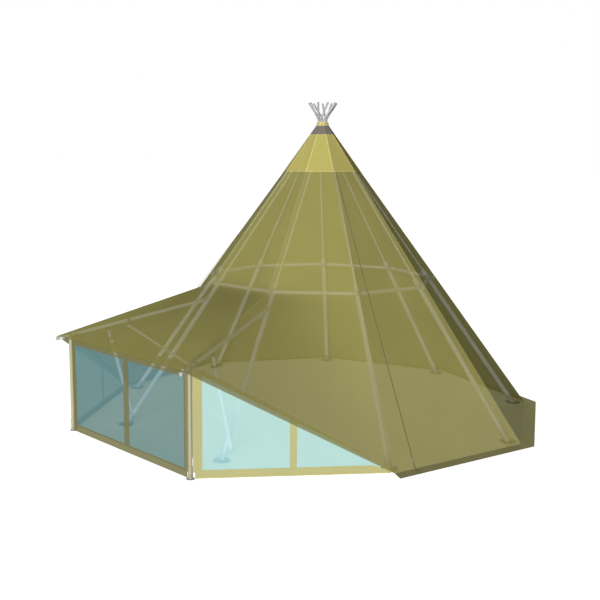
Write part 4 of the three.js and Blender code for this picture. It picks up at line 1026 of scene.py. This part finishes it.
def wall_mesh(start, goal, reach_end, panes, two_posts):
    along = (goal - start).normalized()
    out = along.cross(Vector((0, 0, 1)))
    if out.dot(start - Vector((0, plan_shift, 0))) < 0:
        out.negate()
    mesh = bmesh.new()
    cloth, edge = [mesh.loops.layers.uv.new(name) for name in ("cloth", "edge")]
    far_notch = reach_end + wall_edge_start - notch_reach
    fixed = [wall_edge_start, notch_reach, reach_end]
    fixed += [reach for pane in panes for reach in (pane[0], pane[2])]
    if two_posts:
        fixed.append(far_notch)
    fixed.sort()
    stations = []
    for s0, s1 in zip(fixed, fixed[1:]):
        count = max(1, round((s1 - s0) / station_step))
        stations += [s0 + (s1 - s0) * i / count for i in range(count)]
    stations.append(reach_end)
    heads = [point for pane in panes for point in ((pane[0], pane[1]), (pane[2], pane[3]))]

    def column(reach, in_notch):
        spot = start + along * reach
        rise = reach - wall_edge_start
        if two_posts:
            rise = min(rise, reach_end - reach)
        top = min(roof_over(spot) - 0.003, wall_head_height + wall_corner_rise * rise)
        low = notch_height if in_notch else 0.001
        sill = min(wall_sill, low + (top - low) * 0.6)
        head = max(sill, min(level_between(heads, reach), top - 0.02))
        return [(reach, height) for height in (low, sill, head, top)]

    def add_face(corners, offset, index):
        spots = [start + along * s + Vector((0, 0, z)) + out * offset for s, z in corners]
        face = mesh.faces.new([mesh.verts.new(spot) for spot in spots])
        face.material_index = index
        for loop, (s, z) in zip(face.loops, corners):
            loop[cloth].uv = (s - reach_end, z)
            loop[edge].uv = (2 * reach_end, 1.0)
        return face

    for s0, s1 in zip(stations, stations[1:]):
        middle = (s0 + s1) / 2
        notched = middle < notch_reach or (two_posts and middle > far_notch)
        left, right = column(s0, notched), column(s1, notched)
        open_pane = any(pane[0] < middle < pane[2] for pane in panes)
        for row in range(3):
            if row == 1 and open_pane:
                continue
            if max(left[row + 1][1] - left[row][1], right[row + 1][1] - right[row][1]) > 1e-4:
                add_face((left[row], right[row], right[row + 1], left[row + 1]), 0.0, 0)
    for s0, z0, s1, z1 in panes:
        corners = [(s0, wall_sill), (s1, wall_sill), (s1, z1), (s0, z0)]
        if z1 - wall_sill < 1e-3:
            corners.pop(2)
        opening = add_face(corners, binding_offset, 1)
        bmesh.ops.inset_region(
            mesh, faces=[opening], thickness=binding_width, use_outset=True, use_even_offset=True
        )
        bmesh.ops.delete(mesh, geom=[opening], context="FACES_ONLY")
    bmesh.ops.remove_doubles(mesh, verts=mesh.verts, dist=1e-4)
    bmesh.ops.dissolve_degenerate(mesh, edges=mesh.edges, dist=1e-5)
    bmesh.ops.recalc_face_normals(mesh, faces=mesh.faces)
    return mesh, along, out


def film_mesh(start, along, out, corners):
    mesh = bmesh.new()
    cloth = mesh.loops.layers.uv.new("cloth")
    spots = [start + along * s + Vector((0, 0, z)) - out * film_offset for s, z in corners]
    face = mesh.faces.new([mesh.verts.new(spot) for spot in spots])
    for loop, corner in zip(face.loops, corners):
        loop[cloth].uv = corner
    bmesh.ops.triangulate(mesh, faces=mesh.faces)
    bmesh.ops.subdivide_edges(mesh, edges=mesh.edges, cuts=7, use_grid_fill=True)
    return mesh


def film_material(name, color, opacity):
    material, tree, shader = new_material(name)
    wave = pattern(tree, "Noise", on_surface(tree, "cloth"), {"Scale": 1.6, "Detail": 2.0})
    looks = {"Base Color": two_tones(tree, wave, [c * 0.97 for c in color], color, places=(0.3, 0.7))}
    looks["Normal"] = add_node(tree, "Bump", {"Height": wave, "Strength": 0.3, "Distance": 0.01})["Normal"]
    feed(tree, shader, {**looks, "Roughness": 0.12, "Specular IOR Level": 0.10})
    see_through(tree, shader, opacity, 0.15)
    return material


side_film = film_material("clear film", (0.42, 0.755, 0.785), 0.62)
# Painted shade: the front wall's panes use a darker copy of the clear film.
front_film_painted_shade = film_material("shaded film", (0.095, 0.23, 0.25), 0.76)


def front_plan(start, goal):
    length = (goal - start).length
    half = length / 2
    far_band = length - wall_band
    panes = [(wall_band, front_head, half - half_front_bar, front_head)]
    panes.append((half + half_front_bar, front_head, far_band, front_head))
    film_start, film_end = wall_band - film_lap, far_band + film_lap
    low, high = wall_sill - film_lap, front_head + film_lap
    film = [(film_start, low), (film_end, low), (film_end, high), (film_start, high)]
    return length - wall_edge_start, panes, film


def side_plan(start, goal):
    length = (goal - start).length
    bar_start, bar_end = length / 2 - half_side_bar, length / 2 + half_side_bar
    along = (goal - start).normalized()
    heads = [roof_over(start + along * reach) - 0.080 for reach in (bar_start, bar_end)]
    post_head = wall_head_height - side_top_band
    slope = (post_head - heads[0]) / (bar_start - side_post_band)
    run_out = bar_end + (heads[1] - wall_sill) / slope
    panes = [(side_post_band, post_head, bar_start, heads[0]), (bar_end, heads[1], run_out, wall_sill)]
    film_start, low = side_post_band - film_lap, wall_sill - film_lap
    film = [(film_start, low), (run_out, low), (run_out, wall_sill - 0.010)]
    film += [(bar_end, heads[1] + film_head_lap), (bar_start, heads[0] + film_head_lap)]
    film.append((film_start, post_head + film_head_lap))
    return length - wall_end_clearance, panes, film


walls = [("front", wall_posts["right"], wall_posts["left"])]
walls += [(word, wall_posts[word], wall_corners[word]) for word in ("right", "left")]
for word, start, goal in walls:
    front = word == "front"
    reach_end, panes, film = front_plan(start, goal) if front else side_plan(start, goal)
    mesh, along, out = wall_mesh(start, goal, reach_end, panes, front)
    canvas = front_wall_painted_shade if front else side_wall
    node = f"window_wall_{word}"
    wall = finish_piece(f"wall_{word}", mesh, (canvas, canvas), "tent", [node], crease=60)
    length = (goal - start).length
    mesh = film_mesh(start, along, out, film)
    clear = front_film_painted_shade if front else side_film
    node = f"window_film_{word}"
    pane = finish_piece(f"film_{word}", mesh, (clear,), "tent", [node], crease=60)
    width, height = [max(c[i] for c in film) - min(c[i] for c in film) for i in (0, 1)]

# Zip
# A long coil zip on an olive tape, sewn down the bay right of the raised side and over the flap. Its slider
# is a plated block with a pull.
zip_turns = [Vector((0.85325, -0.12820, 5.78605)), Vector((4.67753, -1.81553, 0.0061))]
zip_turns.append(Vector((4.94450, -1.93680, 0.0061)))
zip_section = [(-0.0150, 0.0), (-0.0035, 0.0002), (-0.0030, 0.0018), (0.0, 0.0024)]
zip_section += [(0.0030, 0.0018), (0.0035, 0.0002), (0.0150, 0.0)]
zip_lift = 0.0012
zip_across = [
    (Vector((0.8547, -0.1131, 5.7852)) - Vector((0.8494, -0.1429, 5.7852))).normalized(),
    (Vector((4.9471, -1.9219, 0.0046)) - Vector((4.9419, -1.9517, 0.0046))).normalized(),
]
mesh = bmesh.new()
cloth = mesh.loops.layers.uv.new("cloth")
rows, run = [], 0.0
for part, (head, tail) in enumerate(zip(zip_turns, zip_turns[1:])):
    count = 90 if part == 0 else 4
    across = zip_across[part]
    for step in range(count + (part == 1)):
        spot = head.lerp(tail, step / count)
        hit, normal, face_index, distance = cover_trees[7].find_nearest(spot)
        reach = run + (spot - head).length
        points = [hit + across * x + normal * (y + zip_lift) for x, y in zip_section]
        rows.append(([mesh.verts.new(point) for point in points], reach))
    run += (tail - head).length
for (upper, above), (lower, below) in zip(rows, rows[1:]):
    for i in range(len(zip_section) - 1):
        face = mesh.faces.new((upper[i], lower[i], lower[i + 1], upper[i + 1]))
        face.material_index = int(i not in (0, len(zip_section) - 2))
        spots = ((i, above), (i, below), (i + 1, below), (i + 1, above))
        for loop, (point, reach) in zip(face.loops, spots):
            loop[cloth].uv = (zip_section[point][0], reach)
bmesh.ops.recalc_face_normals(mesh, faces=mesh.faces)
tape_cloth, tree, shader = new_material("zip tape")
weave = pattern(tree, "Wave", on_surface(tree, "cloth"), {"Scale": 400.0}, bands_direction="DIAGONAL")
tape_tones = two_tones(tree, weave, (0.20, 0.185, 0.065), (0.26, 0.24, 0.08))
feed(tree, shader, {"Base Color": tape_tones, "Roughness": 0.8})
coil_nylon, tree, shader = new_material("zip coil")
teeth = pattern(tree, "Wave", on_surface(tree, "cloth"), {"Scale": 130.0}, bands_direction="Y")
coil_tones = two_tones(tree, teeth, (0.02, 0.02, 0.015), (0.06, 0.055, 0.04))
coil_normal = add_node(tree, "Bump", {"Height": teeth, "Distance": 0.001})["Normal"]
feed(tree, shader, {"Base Color": coil_tones, "Normal": coil_normal, "Roughness": 0.4})
zip_cloths = (tape_cloth, coil_nylon)
zip_piece = finish_piece("door_zip", mesh, zip_cloths, "tent", ["zip_tape"], crease=80)
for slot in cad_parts["zip_slider"].material_slots:
    slot.material = zinc_plate
